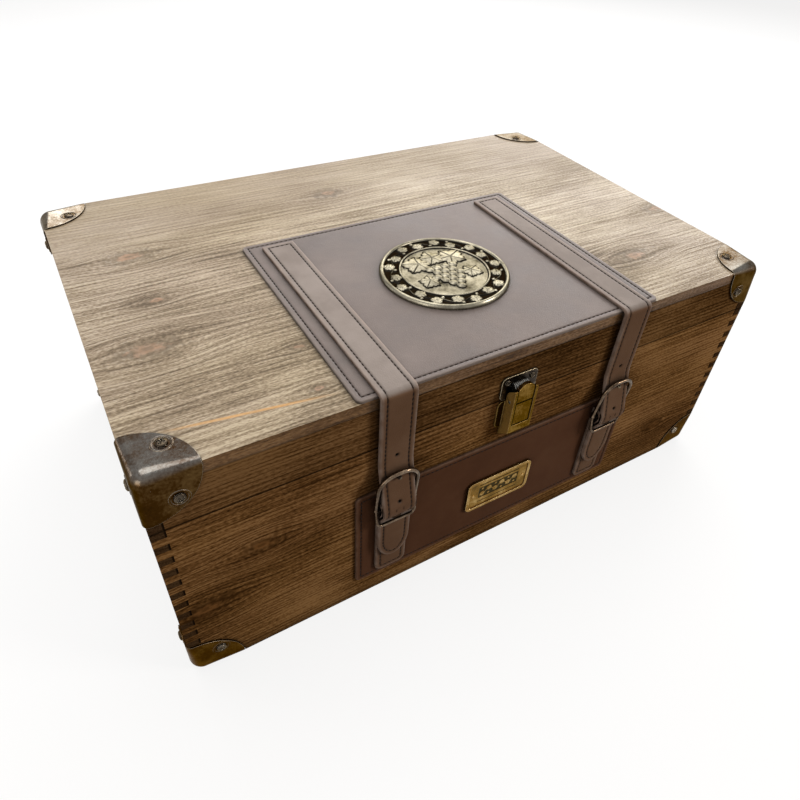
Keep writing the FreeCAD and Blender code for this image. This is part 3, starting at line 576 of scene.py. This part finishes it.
def rounded_line(points, radii, turn_step=8.0):
    """Points of a flat line with its inner corners rounded."""
    line = [points[0]]
    for before, corner, after, radius in zip(points, points[1:], points[2:], radii):
        back, ahead = (np.subtract(end, corner) / math.dist(end, corner) for end in (before, after))
        opening = math.acos(np.clip(back @ ahead, -1, 1))
        middle = corner + (back + ahead) / np.linalg.norm(back + ahead) * radius / math.sin(opening / 2)
        first = corner + back * radius / math.tan(opening / 2) - middle
        turn = math.copysign(math.pi - opening, back[1] * ahead[0] - back[0] * ahead[1])
        count = max(2, math.ceil(math.degrees(abs(turn)) / turn_step))
        for angle in np.linspace(0, turn, count + 1):
            cos, sin = math.cos(angle), math.sin(angle)
            line.append(middle + (first[0] * cos - first[1] * sin, first[0] * sin + first[1] * cos))
    return np.array(line + [points[-1]])


class Band:
    """A strip of leather bent along a flat line: s runs along it, u across it, h out of it."""

    def __init__(self, line, axes, middle, half, thickness, round_start=0.0, round_end=0.0, tip=0.0):
        self.line, self.axes, self.middle = line, axes, middle
        self.half, self.thickness = half, thickness
        self.round_start, self.round_end, self.tip = round_start, round_end, tip
        self.stations = run_along(line)
        self.total = self.stations[-1]
        self.outline = self.inset_outline(0.0)

    def station(self, height):
        """Station of the hanging part of a strap at a height."""
        hanging = self.line[:, 0] > 0.0
        return float(np.interp(-height, -self.line[hanging, 1], self.stations[hanging]))

    def place(self, s, u, h):
        """Points of the strip in the case's frame."""
        step = 0.4 * mm
        spot, ahead, behind = (point_along(self.line, self.stations, s + d) for d in (0.0, step, -step))
        way = (ahead - behind) / np.linalg.norm(ahead - behind, axis=-1, keepdims=True)
        flat = spot + np.stack([-way[..., 1], way[..., 0]], -1) * np.asarray(h)[..., None]
        along_x, first, second = np.asarray(self.axes)
        sideways = np.asarray(self.middle) + np.asarray(u)[..., None] * along_x
        return sideways + flat[..., :1] * first + flat[..., 1:] * second

    def half_at(self, s, inset=0.0):
        """Half of the width at a station, on an outline moved inwards."""
        s = np.asarray(s, float)
        half = np.full_like(s, self.half - inset)
        for radius, from_end in ((self.round_start, s), (self.round_end, self.total - s)):
            if radius > inset:
                lack = np.clip(radius - from_end, 0, radius - inset)
                half -= radius - inset - np.sqrt((radius - inset) ** 2 - lack**2)
        if self.tip:
            run = np.clip((s - (self.total - self.tip)) / (self.tip - inset), 0, 1)
            half *= np.sqrt(1 - run**2)
        return half

    def inset_outline(self, inset):
        """Closed outline in s and u, or one moved inwards."""
        end = self.total - inset
        turn = 1 - np.cos(np.linspace(0, math.pi / 2, 14))
        zone = max(self.tip, self.round_end, 4 * mm)
        s = np.concatenate([
            inset + turn * 6 * mm,
            np.arange(inset + 7 * mm, end - zone, outline_step),
            (end - turn * zone)[::-1],
        ])
        s = np.unique(np.clip(s, inset, end))
        half = self.half_at(s, inset)
        return np.concatenate([np.stack([s, half], 1), np.stack([s, -half], 1)[::-1]])

    def border(self, s, u):
        """Distance to the nearest edge."""
        loop = np.concatenate([self.outline, self.outline[:1]])
        start, way = loop[:-1], np.diff(loop, axis=0)
        long = np.maximum((way**2).sum(1), 1e-14)
        spot = np.stack([np.ravel(s), np.ravel(u)], 1)
        best = np.full(len(spot), 1.0)
        batch = 400
        for first in range(0, len(spot), batch):
            gap = spot[first:first + batch, None, :] - start[None]
            share = np.clip((gap * way[None]).sum(2) / long, 0, 1)
            best[first:first + batch] = np.linalg.norm(gap - share[..., None] * way[None], axis=2).min(1)
        return best.reshape(np.shape(s))

    def rows(self, first, last, holes, step):
        """Stations of a skin's rows, close together at the edges and the holes."""
        marks = [edge_steps, self.total - edge_steps, np.arange(0, self.total, step), self.stations]
        if self.tip:
            marks.append(self.total - self.tip * (1 - np.cos(np.linspace(0, math.pi / 2, 26))))
        marks = np.concatenate(marks)
        for hole in holes:
            marks = np.concatenate([marks[abs(marks - hole) > hole_clear], hole + hole_steps])
        marks = np.unique(np.clip(np.concatenate([marks, [first, last]]), first, last).round(6))
        rows = marks[np.concatenate([[True], np.diff(marks) > least_step])]
        rows[-1] = last
        return rows

    def columns(self, step):
        """Places across a skin, as shares of its half width."""
        inner = self.half - 3 * mm
        rest = np.arange(edge_steps[-1], inner, step)
        side = np.unique(np.concatenate([edge_steps[edge_steps < inner], rest]))
        return np.concatenate([side - self.half, hole_steps, (self.half - side)[::-1]]) / self.half

    def build(self, name, material, first=0.0, last=None, holes=(), step=grid_step):
        """Closed skin between two stations, with edges rounded and the stitch line pressed in."""
        rows = self.rows(first, self.total if last is None else last, holes, step)
        columns = self.columns(step)
        s = np.repeat(rows[:, None], len(columns), 1)
        u = self.half_at(s) * columns[None]
        cells = [(int(np.argmin(abs(rows - hole))), int(np.argmin(abs(columns)))) for hole in holes]
        for hole, (i, j) in zip(holes, cells):
            for di, dj in hole_ring:
                angle = math.atan2(dj, di)
                s[i + di, j + dj] = hole + strap_hole_r * math.cos(angle)
                u[i + di, j + dj] = strap_hole_r * math.sin(angle)
        border = self.border(s, u)
        lack = np.clip(leather_edge_r - border, 0, leather_edge_r)
        fall = leather_edge_r - np.sqrt(leather_edge_r**2 - lack**2)
        groove = np.exp(-(((border - stitch_inset) / groove_half) ** 2))
        for hole in holes:
            beyond = np.hypot(s - hole, u) - strap_hole_r
            groove = np.maximum(groove, np.exp(-((beyond / groove_half) ** 2)))
        top = self.place(s, u, self.thickness - fall - groove * groove_depth).reshape(-1, 3)
        bottom = self.place(s, u, np.zeros_like(s)).reshape(-1, 3)
        # Paler band along the edges: wear and a painted highlight
        pale_edge_band = np.exp(-((border / pale_edge_width) ** 2)).ravel()
        fields = {
            "edge": np.concatenate([pale_edge_band, np.ones(len(top))]),
            "groove": np.concatenate([groove.ravel(), np.zeros(len(top))]),
        }
        faces = skin_faces(*s.shape, cells)
        return mesh_object(name, np.concatenate([top, bottom]), faces, material, fields=fields)

    def stitches(self, name, material, first=0.0, last=None):
        """Thread along the pressed line between two stations."""
        last = self.total if last is None else last
        loop = self.inset_outline(stitch_inset)
        loop = np.concatenate([loop, loop[:1]])
        runs = run_along(loop)
        sides = 6
        angles = np.linspace(0, 2 * math.pi, sides, endpoint=False)
        lengthwise = np.array([-0.5, -0.42, -0.25, 0.25, 0.42, 0.5]) * stitch_length
        widths = np.array([0.15, 0.7, 1.0, 1.0, 0.7, 0.15]) * stitch_r
        sinks = np.array([-0.9, -0.2, 0.35, 0.35, -0.2, -0.9]) * stitch_r

        points, faces = [], []
        for middle in np.arange(stitch_pitch / 2, runs[-1], stitch_pitch):
            if not first <= point_along(loop, runs, middle)[0] <= last:
                continue
            base = len(points)
            for step, width, sink in zip(lengthwise, widths, sinks):
                spot = point_along(loop, runs, middle + step)
                way = point_along(loop, runs, middle + step + 0.3 * mm) - spot
                way /= max(np.linalg.norm(way), 1e-9)
                s = spot[0] - way[1] * width * np.cos(angles)
                u = spot[1] + way[0] * width * np.cos(angles)
                h = self.thickness - groove_depth + sink + width * np.sin(angles)
                points.extend(self.place(s, u, h))
            for ring in range(base, len(points) - sides, sides):
                for k in range(sides):
                    here, there = ring + k, ring + (k + 1) % sides
                    faces.append([here, there, there + sides, here + sides])
            faces.append(list(range(base, base + sides))[::-1])
            faces.append(list(range(len(points) - sides, len(points))))
        return mesh_object(name, points, faces, material, 60.0)


# Wood's colours: four stops of stain, heartwood, and knots and resin by place. The stains and heartwoods are
# lit and shaded copies of one stain, as painted light and shade: pale on the lit top, richer and darker on
# the shaded front, darker still on the lid's front, and dark on the back and sides
lit_top_stain = ((0.105, 0.075, 0.044), (0.215, 0.162, 0.105), (0.292, 0.230, 0.156), (0.450, 0.372, 0.272))
shaded_front_stain = ((0.060, 0.027, 0.008), (0.158, 0.078, 0.026), (0.235, 0.121, 0.044), (0.400, 0.228, 0.098))
shaded_far_stain = ((0.034, 0.018, 0.008), (0.093, 0.052, 0.024), (0.138, 0.080, 0.039), (0.240, 0.148, 0.078))
shaded_lid_stain = tuple(tuple(0.71 * level for level in stop) for stop in shaded_front_stain)
lit_top_heart, shaded_front_heart, shaded_far_heart = (0.35, 0.215, 0.135), (0.25, 0.118, 0.040), (0.15, 0.080, 0.034)
top_knots = ((-0.2016, 0.0590, 0.0060), (-0.1978, -0.0057, 0.0030), (-0.2164, -0.0575, 0.0075),
             (-0.1328, -0.0966, 0.0022), (-0.1369, -0.1389, 0.0024), (-0.0188, 0.1000, 0.0050),
             (0.1613, -0.1057, 0.0060), (0.2455, -0.0494, 0.0050))
front_knots = ((-0.2331, 0.0720, 0.0065), (-0.1906, 0.1140, 0.0045), (0.19, 0.045, 0.005))
back_knots = ((0.12, 0.09, 0.006), (-0.17, 0.05, 0.005))
side_knots = ((0.05, 0.08, 0.006), (-0.09, 0.03, 0.004))
resin = ((-0.2327, -0.1235, -0.1325, 0.0015),)
top_wood = wood("stained_pine_top", lit_top_stain, lit_top_heart, 0.2, "XY", 1.0, top_knots, resin,
                edge=shaded_lid_stain, seed=3.0)
front_wood = wood("stained_pine_front", shaded_front_stain, shaded_front_heart, 0.0, "XZ", 1.4, front_knots, seed=29.0)
lid_wood = wood("stained_pine_lid", shaded_lid_stain, shaded_front_heart, 0.0, "XZ", 1.4, front_knots, seed=29.0)
back_wood = wood("stained_pine_back", shaded_far_stain, shaded_far_heart, 0.0, "XZ", 1.4, back_knots, seed=23.0)
side_wood = wood("stained_pine_side", shaded_far_stain, shaded_far_heart, 0.0, "YZ", 1.4, side_knots,
                 seam=finger_seam, seed=37.0)

# Leather's colours: deep, middle, pale, and the edge's colour, worn and with a painted highlight. The front
# leather is a darker, warmer copy of the panel leather for the shaded front, and the strap's lying colours a
# paler, greyer copy, as painted light and shade
panel_hide = leather("panel_leather", (0.108, 0.087, 0.080), (0.154, 0.124, 0.113), (0.204, 0.168, 0.155),
                     (0.22, 0.182, 0.163), 0.15)
front_hide = leather("front_leather", (0.090, 0.040, 0.021), (0.116, 0.054, 0.030), (0.145, 0.073, 0.043),
                     (0.20, 0.125, 0.090), 0.01)
strap_hide = leather("strap_leather", (0.138, 0.076, 0.045), (0.172, 0.100, 0.062), (0.210, 0.130, 0.085),
                     (0.33, 0.262, 0.230), 0.02, lit_lying=((0.218, 0.184, 0.166), (0.292, 0.252, 0.231)))
sewing = thread("sewing_thread")

# Metal's colours: bright, dull and dark
bronze = metal("aged_bronze", (0.12, 0.072, 0.026), (0.032, 0.013, 0.002), (0.013, 0.005, 0.001), 45.0, 0.16,
               rubbed_lit_top=(0.165, 0.160, 0.148), worn_lit_lip=(0.30, 0.265, 0.205), tint=(0.58, 0.54, 0.48))
base_bronze = metal("brown_bronze", (0.120, 0.067, 0.021), (0.042, 0.020, 0.005), (0.013, 0.006, 0.002),
                    45.0, 0.24, worn_lit_lip=(0.22, 0.170, 0.115), tint=(0.58, 0.50, 0.43))
dark_bronze = metal("dark_bronze", (0.46, 0.37, 0.24), (0.020, 0.013, 0.009), (0.008, 0.005, 0.004),
                    45.0, 0.26, edge=0.8 * mm, corner_shade_and_patina=0.7)
lever_low, lever_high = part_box("latch_lever")
lever_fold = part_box("latch_pin")[0].z + 1.6 * mm
# Painted shade lines round the lever's edges and in its groove
lever_shade_lines = ((0, lever_low.x, 0.7 * mm), (0, lever_high.x, 0.7 * mm), (2, lever_low.z, 0.7 * mm),
               (2, lever_fold, 0.9 * mm))
lever_brass = metal("lever_brass", (0.34, 0.21, 0.065), (0.070, 0.033, 0.006), (0.003, 0.002, 0.001),
                    60.0, 0.20, lines=lever_shade_lines, tint=(0.85, 0.70, 0.45))
housing_brass = metal("housing_brass", (0.32, 0.20, 0.06), (0.070, 0.033, 0.006), (0.014, 0.007, 0.002),
                      60.0, 0.22, edge=1.2 * mm, edge_share=0.5, plate=case_front - 1.5 * mm,
                      side_reflection=(0.40, 0.25, 0.07), tint=(0.85, 0.70, 0.45))
plate_brass = metal("plate_brass", (0.62, 0.46, 0.22), (0.21, 0.105, 0.022), (0.04, 0.020, 0.005),
                    60.0, 0.22, tint=(0.9, 0.8, 0.6))
buckle_brass = metal("buckle_brass", (0.30, 0.22, 0.15), (0.066, 0.043, 0.027), (0.012, 0.008, 0.005),
                     70.0, 0.14)
steel = metal("worn_steel", (0.34, 0.33, 0.31), (0.13, 0.125, 0.115), (0.02, 0.018, 0.016), 80.0, 0.24)
screw_metal = metal("screw_metal", (0.34, 0.29, 0.23), (0.048, 0.037, 0.026), (0.004, 0.003, 0.002),
                    12.0, 0.16, edge=0.3 * mm, corner_shade_and_patina=0.8, reach=1.2 * mm, tint=(0.7, 0.6, 0.45))
relief_brass = metal("relief_brass", (0.33, 0.303, 0.235), (0.166, 0.150, 0.113), (0.008, 0.007, 0.006),
                     60.0, 0.24, relief="relief", corner_shade_and_patina=0.6, tint=(0.45, 0.42, 0.35))
plate_relief = metal("plate_relief", (0.60, 0.44, 0.20), (0.20, 0.105, 0.022), (0.012, 0.008, 0.005),
                     60.0, 0.24, relief="relief", tint=(0.9, 0.8, 0.6))


# Finish of the CAD pieces, by the first of these words in their names
finishes = {
    "hinge": bronze, "screws": None, "base_corner": base_bronze, "lid_corner": bronze,
    "prong": dark_bronze, "buckle": buckle_brass, "latch_lid_plate": dark_bronze,
    "latch_housing": housing_brass, "latch_lever": lever_brass, "latch": steel, "name_plate": plate_brass,
    "left_board": side_wood, "right_board": side_wood, "left_rail": side_wood, "right_rail": side_wood,
    "top_board": top_wood, "bottom_board": top_wood, "lid_front": lid_wood, "base_front": front_wood,
    "lid_back": back_wood, "base_back": back_wood,
}


def soften(obj):
    """Softly broken edges on a board."""
    weld = obj.modifiers.new("weld", "WELD")
    weld.merge_threshold = 0.002 * mm
    soft = obj.modifiers.new("soft_edges", "BEVEL")
    soft.width, soft.segments = board_bevel, 2
    soft.limit_method, soft.angle_limit = "ANGLE", math.radians(35)
    soft.harden_normals = True


def dress_case():
    for node, obj in nodes.items():
        material = next((finish for word, finish in finishes.items() if word in node), None)
        if material:
            obj.data.materials.clear()
            obj.data.materials.append(material)
        if node.endswith(("_board", "_rail")):
            soften(obj)


# Leather panels
def flat_band(node, axes, along):
    """Band for a flat panel that fills its CAD solid."""
    low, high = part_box(node)
    length = (high - low)[along]
    line = np.array([[-length / 2, 0.0], [length / 2, 0.0]])
    back = (low + high) / 2 - Vector(axes[2]) * (panel_thickness / 2)
    return Band(line, axes, back, (high.x - low.x) / 2, panel_thickness, panel_corner, panel_corner)


def build_panels():
    for node, axes, along, body, hide in (("top_panel", strap_axes, 1, "lid", panel_hide),
                                          ("front_panel", front_axes, 2, "base", front_hide)):
        band = flat_band(node, axes, along)
        panel = band.build(node + "_leather", hide, step=panel_step)
        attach(finish_piece(panel, "leather", node), body)
        seam = band.stitches(node + "_stitches", sewing)
        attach(finish_piece(seam, "leather"), body)


# Straps
def build_strap(side):
    node = f"strap_{side}_"
    low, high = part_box(node + "tail")
    x = (low.x + high.x) / 2
    line = rounded_line(strap_bends, strap_rounds)
    band = Band(line, strap_axes, (x, case_front, 0.0), (high.x - low.x) / 2, strap_thickness,
                strap_end_corner, 0.0, strap_tip_length)
    drape, lift = band.station(strap_drape_height), band.station(strap_lift_height)
    spare = [band.station(strap_spare_hole)]
    holes = [band.station(height) for height in strap_tail_holes]
    for part, first, last, pits in (("upper", 0.0, drape, ()), ("bend", drape, lift, spare),
                                    ("tail", lift, band.total, holes)):
        skin = band.build(node + part + "_leather", strap_hide, first, last, pits)
        finish_piece(skin, "leather", node + part)
        seam = finish_piece(band.stitches(node + part + "_stitches", sewing, first, last), "leather")
        for piece in (skin, seam):
            if part == "upper":
                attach(piece, "lid")
            elif part == "bend":
                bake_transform(piece)
            else:
                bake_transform(piece)


def turned_line():
    """Lower strap's line round the buckle's bar and down its lap."""
    angles = np.radians(np.arange(0, 181, 15))
    turn = np.stack([bar_out - turn_r * np.cos(angles), bar_height + turn_r * np.sin(angles)], 1)
    lap_out = lower_out + 2 * lower_thickness
    lap = [[lap_out + out, bar_height - down] for out, down in lap_curve]
    return np.concatenate([[[lower_out, bar_height - turn_drop]], turn, lap, [[lap_out, lap_foot]]])


def build_lower_strap(side):
    """Strap sewn to the front panel and turned round the buckle's bar."""
    node = f"lower_strap_{side}"
    low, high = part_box(node)
    x, half = (low.x + high.x) / 2, (high.x - low.x) / 2
    rising = np.array([[lower_out, bar_height - turn_drop], [lower_out, lower_foot]])
    flat = Band(rising, strap_axes, (x, case_front, 0.0), half, lower_thickness, 0.0, lower_corner)
    pieces = [flat.build(node + "_leather", strap_hide), flat.stitches(node + "_stitches", sewing)]
    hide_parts(node)
    arm_half = (half - slot_half) / 2
    for name, sign in (("left", -1), ("right", 1)):
        spot = (x + sign * (slot_half + arm_half), case_front, 0.0)
        arm = Band(turned_line()[::-1], strap_axes, spot, arm_half, -lower_thickness)
        pieces.append(arm.build(f"{node}_turn_{name}", strap_hide))
    for piece in pieces:
        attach(piece, "base")


# Screws
def head_form(radius, height, arms):
    """Square grid drawn to a disc, and its dome with a cross or a single slot."""
    line = np.linspace(-1, 1, head_steps + 1)
    grid_x, grid_y = np.meshgrid(line, line, indexing="ij")
    x = grid_x * np.sqrt(1 - grid_y**2 / 2) * radius
    y = grid_y * np.sqrt(1 - grid_x**2 / 2) * radius
    far = np.hypot(x, y) / radius
    dome = height * (head_wall + (1 - head_wall) * np.sqrt(np.clip(1 - far**2, 0, 1)))
    wide, long = cross_wide * radius, cross_long * radius
    beside = np.maximum(abs(x) - wide, abs(y) - long)
    if arms == 2:
        beside = np.minimum(beside, np.maximum(abs(y) - wide, abs(x) - long))
    dome -= cross_deep * height * np.clip(0.5 - beside / (cross_slope * radius), 0, 1)
    return x.reshape(-1, 1), y.reshape(-1, 1), dome.reshape(-1, 1)


def screw_heads(name, seats, radius, height, arms):
    """Domed heads, each at a seat and facing outward."""
    x, y, dome = head_form(radius, height, arms)
    side_count = head_steps + 1
    rim = rim_loop(side_count, side_count)
    rim = rim[:1] + rim[:0:-1]
    points, faces = [], []
    for number, (seat, outward) in enumerate(seats):
        outward = np.array(outward, float)
        side = np.array([0.0, 0.0, 1.0]) if abs(outward[2]) < 0.5 else np.array([1.0, 0.0, 0.0])
        spin = number * 1.1 + 0.4
        across = side * math.cos(spin) + np.cross(outward, side) * math.sin(spin)
        foot = seat + across * x + np.cross(outward, across) * y
        base = len(points)
        points.extend(foot + outward * dome)
        faces += grid_faces(side_count, side_count, base)
        ring = [len(points) + k for k in range(len(rim))]
        points.extend(foot[rim])
        for k, here in enumerate(rim):
            after = (k + 1) % len(rim)
            faces.append([base + here, ring[k], ring[after], base + rim[after]])
        faces.append(ring)
    return mesh_object(name, points, faces, screw_metal, 35.0)


def corner_seats(lid):
    """Seats of the screws of four corners, on their leaves."""
    seats = []
    z = case_half.z - corner_reach if lid else leaf + corner_reach
    for sx in (-1, 1):
        for sy in (-1, 1):
            x, y = sx * (case_half.x - corner_reach), sy * (case_half.y - corner_reach)
            seats.append((np.array([x, sy * (case_half.y + leaf), z]), (0, sy, 0)))
            seats.append((np.array([sx * (case_half.x + leaf), y, z]), (sx, 0, 0)))
            if lid:
                seats.append((np.array([x, y, case_half.z + leaf]), (0, 0, 1)))
    return seats


def row_seats(xs, height, outward):
    """Seats in a row on the front or the back."""
    y = outward * (leaf - case_front)
    return [(np.array([x, y, height]), (0, outward, 0)) for x in xs]


def build_screws():
    groups = (
        ("lid_corner_screws", corner_seats(True), corner_head, 2, "lid"),
        ("base_corner_screws", corner_seats(False), corner_head, 2, "base"),
        ("latch_lid_screws", row_seats(latch_screws_x, latch_screws_z, -1), latch_head, 2, "lid"),
        ("hinge_base_screws", row_seats(hinge_screws_x, hinge_base_z, 1), hinge_head, 1, "base"),
        ("hinge_lid_screws", row_seats(hinge_screws_x, hinge_lid_z, 1), hinge_head, 1, "lid"),
    )
    for node, seats, head, arms, body in groups:
        heads = screw_heads(node + "_heads", seats, *head, arms)
        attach(finish_piece(heads, "screws", node), body)


# Medallion
def ball(x, y, middle_x, middle_y, radius, rise):
    share = np.clip(1 - ((x - middle_x) ** 2 + (y - middle_y) ** 2) / radius**2, 0, 1)
    return rise * np.sqrt(share)


def vine_leaf(x, y, middle_x, middle_y, turn, size, rise):
    """Five-lobed leaf with pressed veins."""
    cos, sin = math.cos(turn), math.sin(turn)
    along = (x - middle_x) * cos + (y - middle_y) * sin
    aside = -(x - middle_x) * sin + (y - middle_y) * cos
    angle, out = np.arctan2(aside, along), np.hypot(along, aside)
    lobes = 0.22 * np.cos(2.5 * angle) ** 2 + 0.2 * np.cos(angle / 2) ** 4 + 0.05 * np.cos(15 * angle)
    inside = np.clip(1 - out / (size * (0.62 + lobes)), 0, 1)
    veins = np.exp(-((np.sin(2.5 * angle) * out / (0.06 * size)) ** 2)) * (inside > 0.02)
    return np.where(inside > 0, rise * (0.25 + 0.75 * np.sqrt(inside) - 0.5 * veins), 0)


def raised(height, form, base):
    """Height with a form set on a base, where the form rises."""
    return np.maximum(height, np.where(form > 0, base + form, 0))


def round_bar(r, middle, half, rise):
    return rise * np.sqrt(np.clip(1 - ((r - middle) / half) ** 2, 0, 1))


def medallion_disc(r, turn):
    """Disc with its rim, ring and running stem."""
    floor = np.where(r < disc_r, disc_floor, 0.0)
    height = np.maximum(floor, np.maximum(round_bar(r, *rim_bar), round_bar(r, *ring_bar)))
    stem_r = vine_r + vine_swing * np.sin(vine_leaves / 2 * turn)
    return np.maximum(height, np.where(r > vine_inner, round_bar(r, stem_r, vine_half, vine_rise), 0))


def medallion_height(x, y):
    """Relief in millimetres, by a place in metres: a ring of leaves and berries, and grapes with leaves."""
    height = medallion_disc(np.hypot(x, y) / mm, np.arctan2(y, x))
    x, y = x / mm, y / mm
    for k in range(vine_leaves):
        middle = 2 * math.pi * (k + 0.5) / vine_leaves
        side = 1 if k % 2 else -1
        reach = vine_r + vine_leaf_out * side
        lobe = vine_leaf(x, y, reach * math.cos(middle), reach * math.sin(middle),
                         middle - 0.5 * math.pi * side, vine_leaf_size, vine_leaf_rise)
        height = raised(height, lobe, leaf_base)
        reach, turn = vine_r - berry_out * side, middle + berry_lead
        berry = ball(x, y, reach * math.cos(turn), reach * math.sin(turn), berry_r, berry_rise)
        height = np.maximum(height, fruit_base + berry)
    for row, count in enumerate(grape_rows):
        for k in range(count):
            grape_x, grape_y = (k - (count - 1) / 2) * grape_gap, grape_top - row * grape_drop
            height = np.maximum(height, fruit_base + ball(x, y, grape_x, grape_y, grape_r, grape_rise))
    for leaf_x, leaf_y, turn, size in centre_leaves:
        lobe = vine_leaf(x, y, leaf_x, leaf_y, turn, size, centre_leaf_rise)
        height = raised(height, lobe, fruit_base)
    return height


def build_medallion():
    spokes = 420
    base = np.array([*medallion_middle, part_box("medallion")[0].z])
    face_rings, rim_rings = np.linspace(0.0, 46.0, 150), np.linspace(46.3, disc_r, 14)
    radii = np.concatenate([face_rings[1:], rim_rings]) * mm
    angles = np.linspace(0, 2 * math.pi, spokes, endpoint=False)
    r, turn = np.meshgrid(radii, angles, indexing="ij")
    x, y = r * np.cos(turn), r * np.sin(turn)
    height = medallion_height(x, y)
    middle_height = float(medallion_height(np.zeros(1), np.zeros(1))[0])
    face = np.stack([x, y, height * mm], -1).reshape(-1, 3)
    foot = np.stack([x[-1], y[-1], np.zeros(spokes)], -1)
    points = base + np.concatenate([face, foot, [[0.0, 0.0, middle_height * mm]]])
    faces = []
    for ring in range(0, len(face), spokes):
        for k in range(spokes):
            after = (k + 1) % spokes
            faces.append([ring + k, ring + spokes + k, ring + spokes + after, ring + after])
    faces += [[len(points) - 1, k, (k + 1) % spokes] for k in range(spokes)]
    faces.append([len(face) + k for k in range(spokes)][::-1])
    field = (r < field_r * mm) & (height < disc_floor + 0.01)
    open_face = np.where(field, field_shade, (height - disc_floor - 0.05) / 1.3)
    open_face = np.where(r > face_r * mm, rim_shade, open_face)
    relief = np.concatenate([open_face.ravel(), np.ones(spokes), [middle_height - disc_floor]])
    fields = {"relief": np.clip(relief, 0, 1)}
    piece = mesh_object("medallion_relief", points, faces, relief_brass, 60.0, fields)
    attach(finish_piece(piece, "brass", "medallion"), "lid")


# Plate
def plate_height(x, z):
    """Field of the small plate: a pressed vine on a sunk band between two rules."""
    z = z - band_middle
    sunk = (abs(x) < band_half) & (abs(z) < band_rise)
    for rule in rule_heights:
        sunk |= (abs(z + band_middle - rule) < rule_half) & (abs(x) < band_half)
    height = np.where(sunk, plate_sunk, plate_level)
    wave = stem_swing * np.sin(x / band_half * 3 * math.pi)
    height = np.where((abs(z - wave) < stem_half) & (abs(x) < stem_reach), plate_stem, height)
    for k in range(plate_leaves):
        leaf_x = plate_leaf_start + plate_leaf_gap * k
        side = 1 if k % 2 else -1
        lobe = vine_leaf(x, z, leaf_x, side * plate_leaf_out, side * plate_leaf_turn,
                         plate_leaf_size, plate_leaf_rise)
        berry = ball(x, z, leaf_x, -side * plate_berry_out, plate_berry_r, plate_berry_rise)
        height = raised(raised(height, lobe, plate_sunk), berry, plate_sunk)
    return height


def build_plate():
    low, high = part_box("name_plate")
    half_x, half_z = (high.x - low.x) / 2 - plate_rim, (high.z - low.z) / 2 - plate_rim
    middle = (low + high) / 2
    across, upward = np.linspace(-half_x, half_x, 180), np.linspace(-half_z, half_z, 92)
    x, z = np.meshgrid(across, upward, indexing="ij")
    height = plate_height(x, z)
    points = np.stack([x + middle.x, low.y + plate_pocket - height, z + middle.z], -1).reshape(-1, 3)
    relief = np.clip((height - plate_sunk) / (0.33 * mm), 0, 1).ravel()
    faces = grid_faces(*x.shape)
    piece = mesh_object("name_plate_field", points, faces, plate_relief, 60.0, {"relief": relief})
    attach(finish_piece(piece, "brass"), "base")


# Floor, lights and camera
def build_stage():
    corners = [(sx * floor_half, sy * floor_half, 0) for sx, sy in ((-1, -1), (1, -1), (1, 1), (-1, 1))]
    look = material_look("studio_floor")
    floor = mesh_object("studio_floor", corners, [[0, 1, 2, 3]], look.owner)
    glow = look.add("Emission", 0, {"Color": floor_glow, "Strength": 1.0})
    pale = look.add("AddShader", 0, {0: glow, 1: look.add("BsdfDiffuse", 0, {"Color": floor_matte})})
    dim = look.add("BsdfDiffuse", 0, {"Color": floor_bounce})
    both = look.add("MixShader", 0, {0: look.seen(), 1: dim, 2: pale})
    look.put(look.tree.nodes["Material Output"].inputs["Surface"], both)


def build_world():
    look = Look(bpy.data.worlds.new("studio"))
    bpy.context.scene.world = look.owner
    lit = look.fill(look.tree.nodes["Background"], {"Color": room_colour, "Strength": room_strength})
    white = look.add("Background", 0, {"Color": (1.0, 1.0, 1.0), "Strength": 1.0})
    both = look.add("MixShader", 0, {0: look.seen(), 1: lit, 2: white})
    look.put(look.tree.nodes["World Output"].inputs["Surface"], both)


def softbox(name, place, target, size, power, colour):
    data = bpy.data.lights.new(name, "AREA")
    data.shape = "RECTANGLE"
    data.size, data.size_y = size
    data.energy = power
    data.color = colour
    lamp = bpy.data.objects.new(name, data)
    lamp.location = place
    lamp.rotation_euler = (Vector(target) - Vector(place)).to_track_quat("-Z", "Y").to_euler()
    bpy.context.scene.collection.objects.link(lamp)


def build_camera():
    data = bpy.data.cameras.new("camera")
    data.lens, data.sensor_width, data.clip_start = camera_lens, 36.0, 0.01
    data.shift_x, data.shift_y = camera_shift
    camera = bpy.data.objects.new("camera", data)
    pose = Matrix.Translation(camera_place)
    for degrees, axis in ((-camera_azimuth, "Z"), (90 - camera_dip, "X"), (camera_roll, "Z")):
        pose = pose @ Matrix.Rotation(math.radians(degrees), 4, axis)
    camera.matrix_world = pose
    bpy.context.scene.collection.objects.link(camera)
    bpy.context.scene.camera = camera


dress_case()
build_panels()
for side in ("left", "right"):
    build_strap(side)
    build_lower_strap(side)
build_screws()
build_medallion()
build_plate()
build_stage()
build_world()
for light, settings in lights.items():
    softbox(light, *settings)
build_camera()
bpy.context.scene.view_settings.view_transform = "Standard"
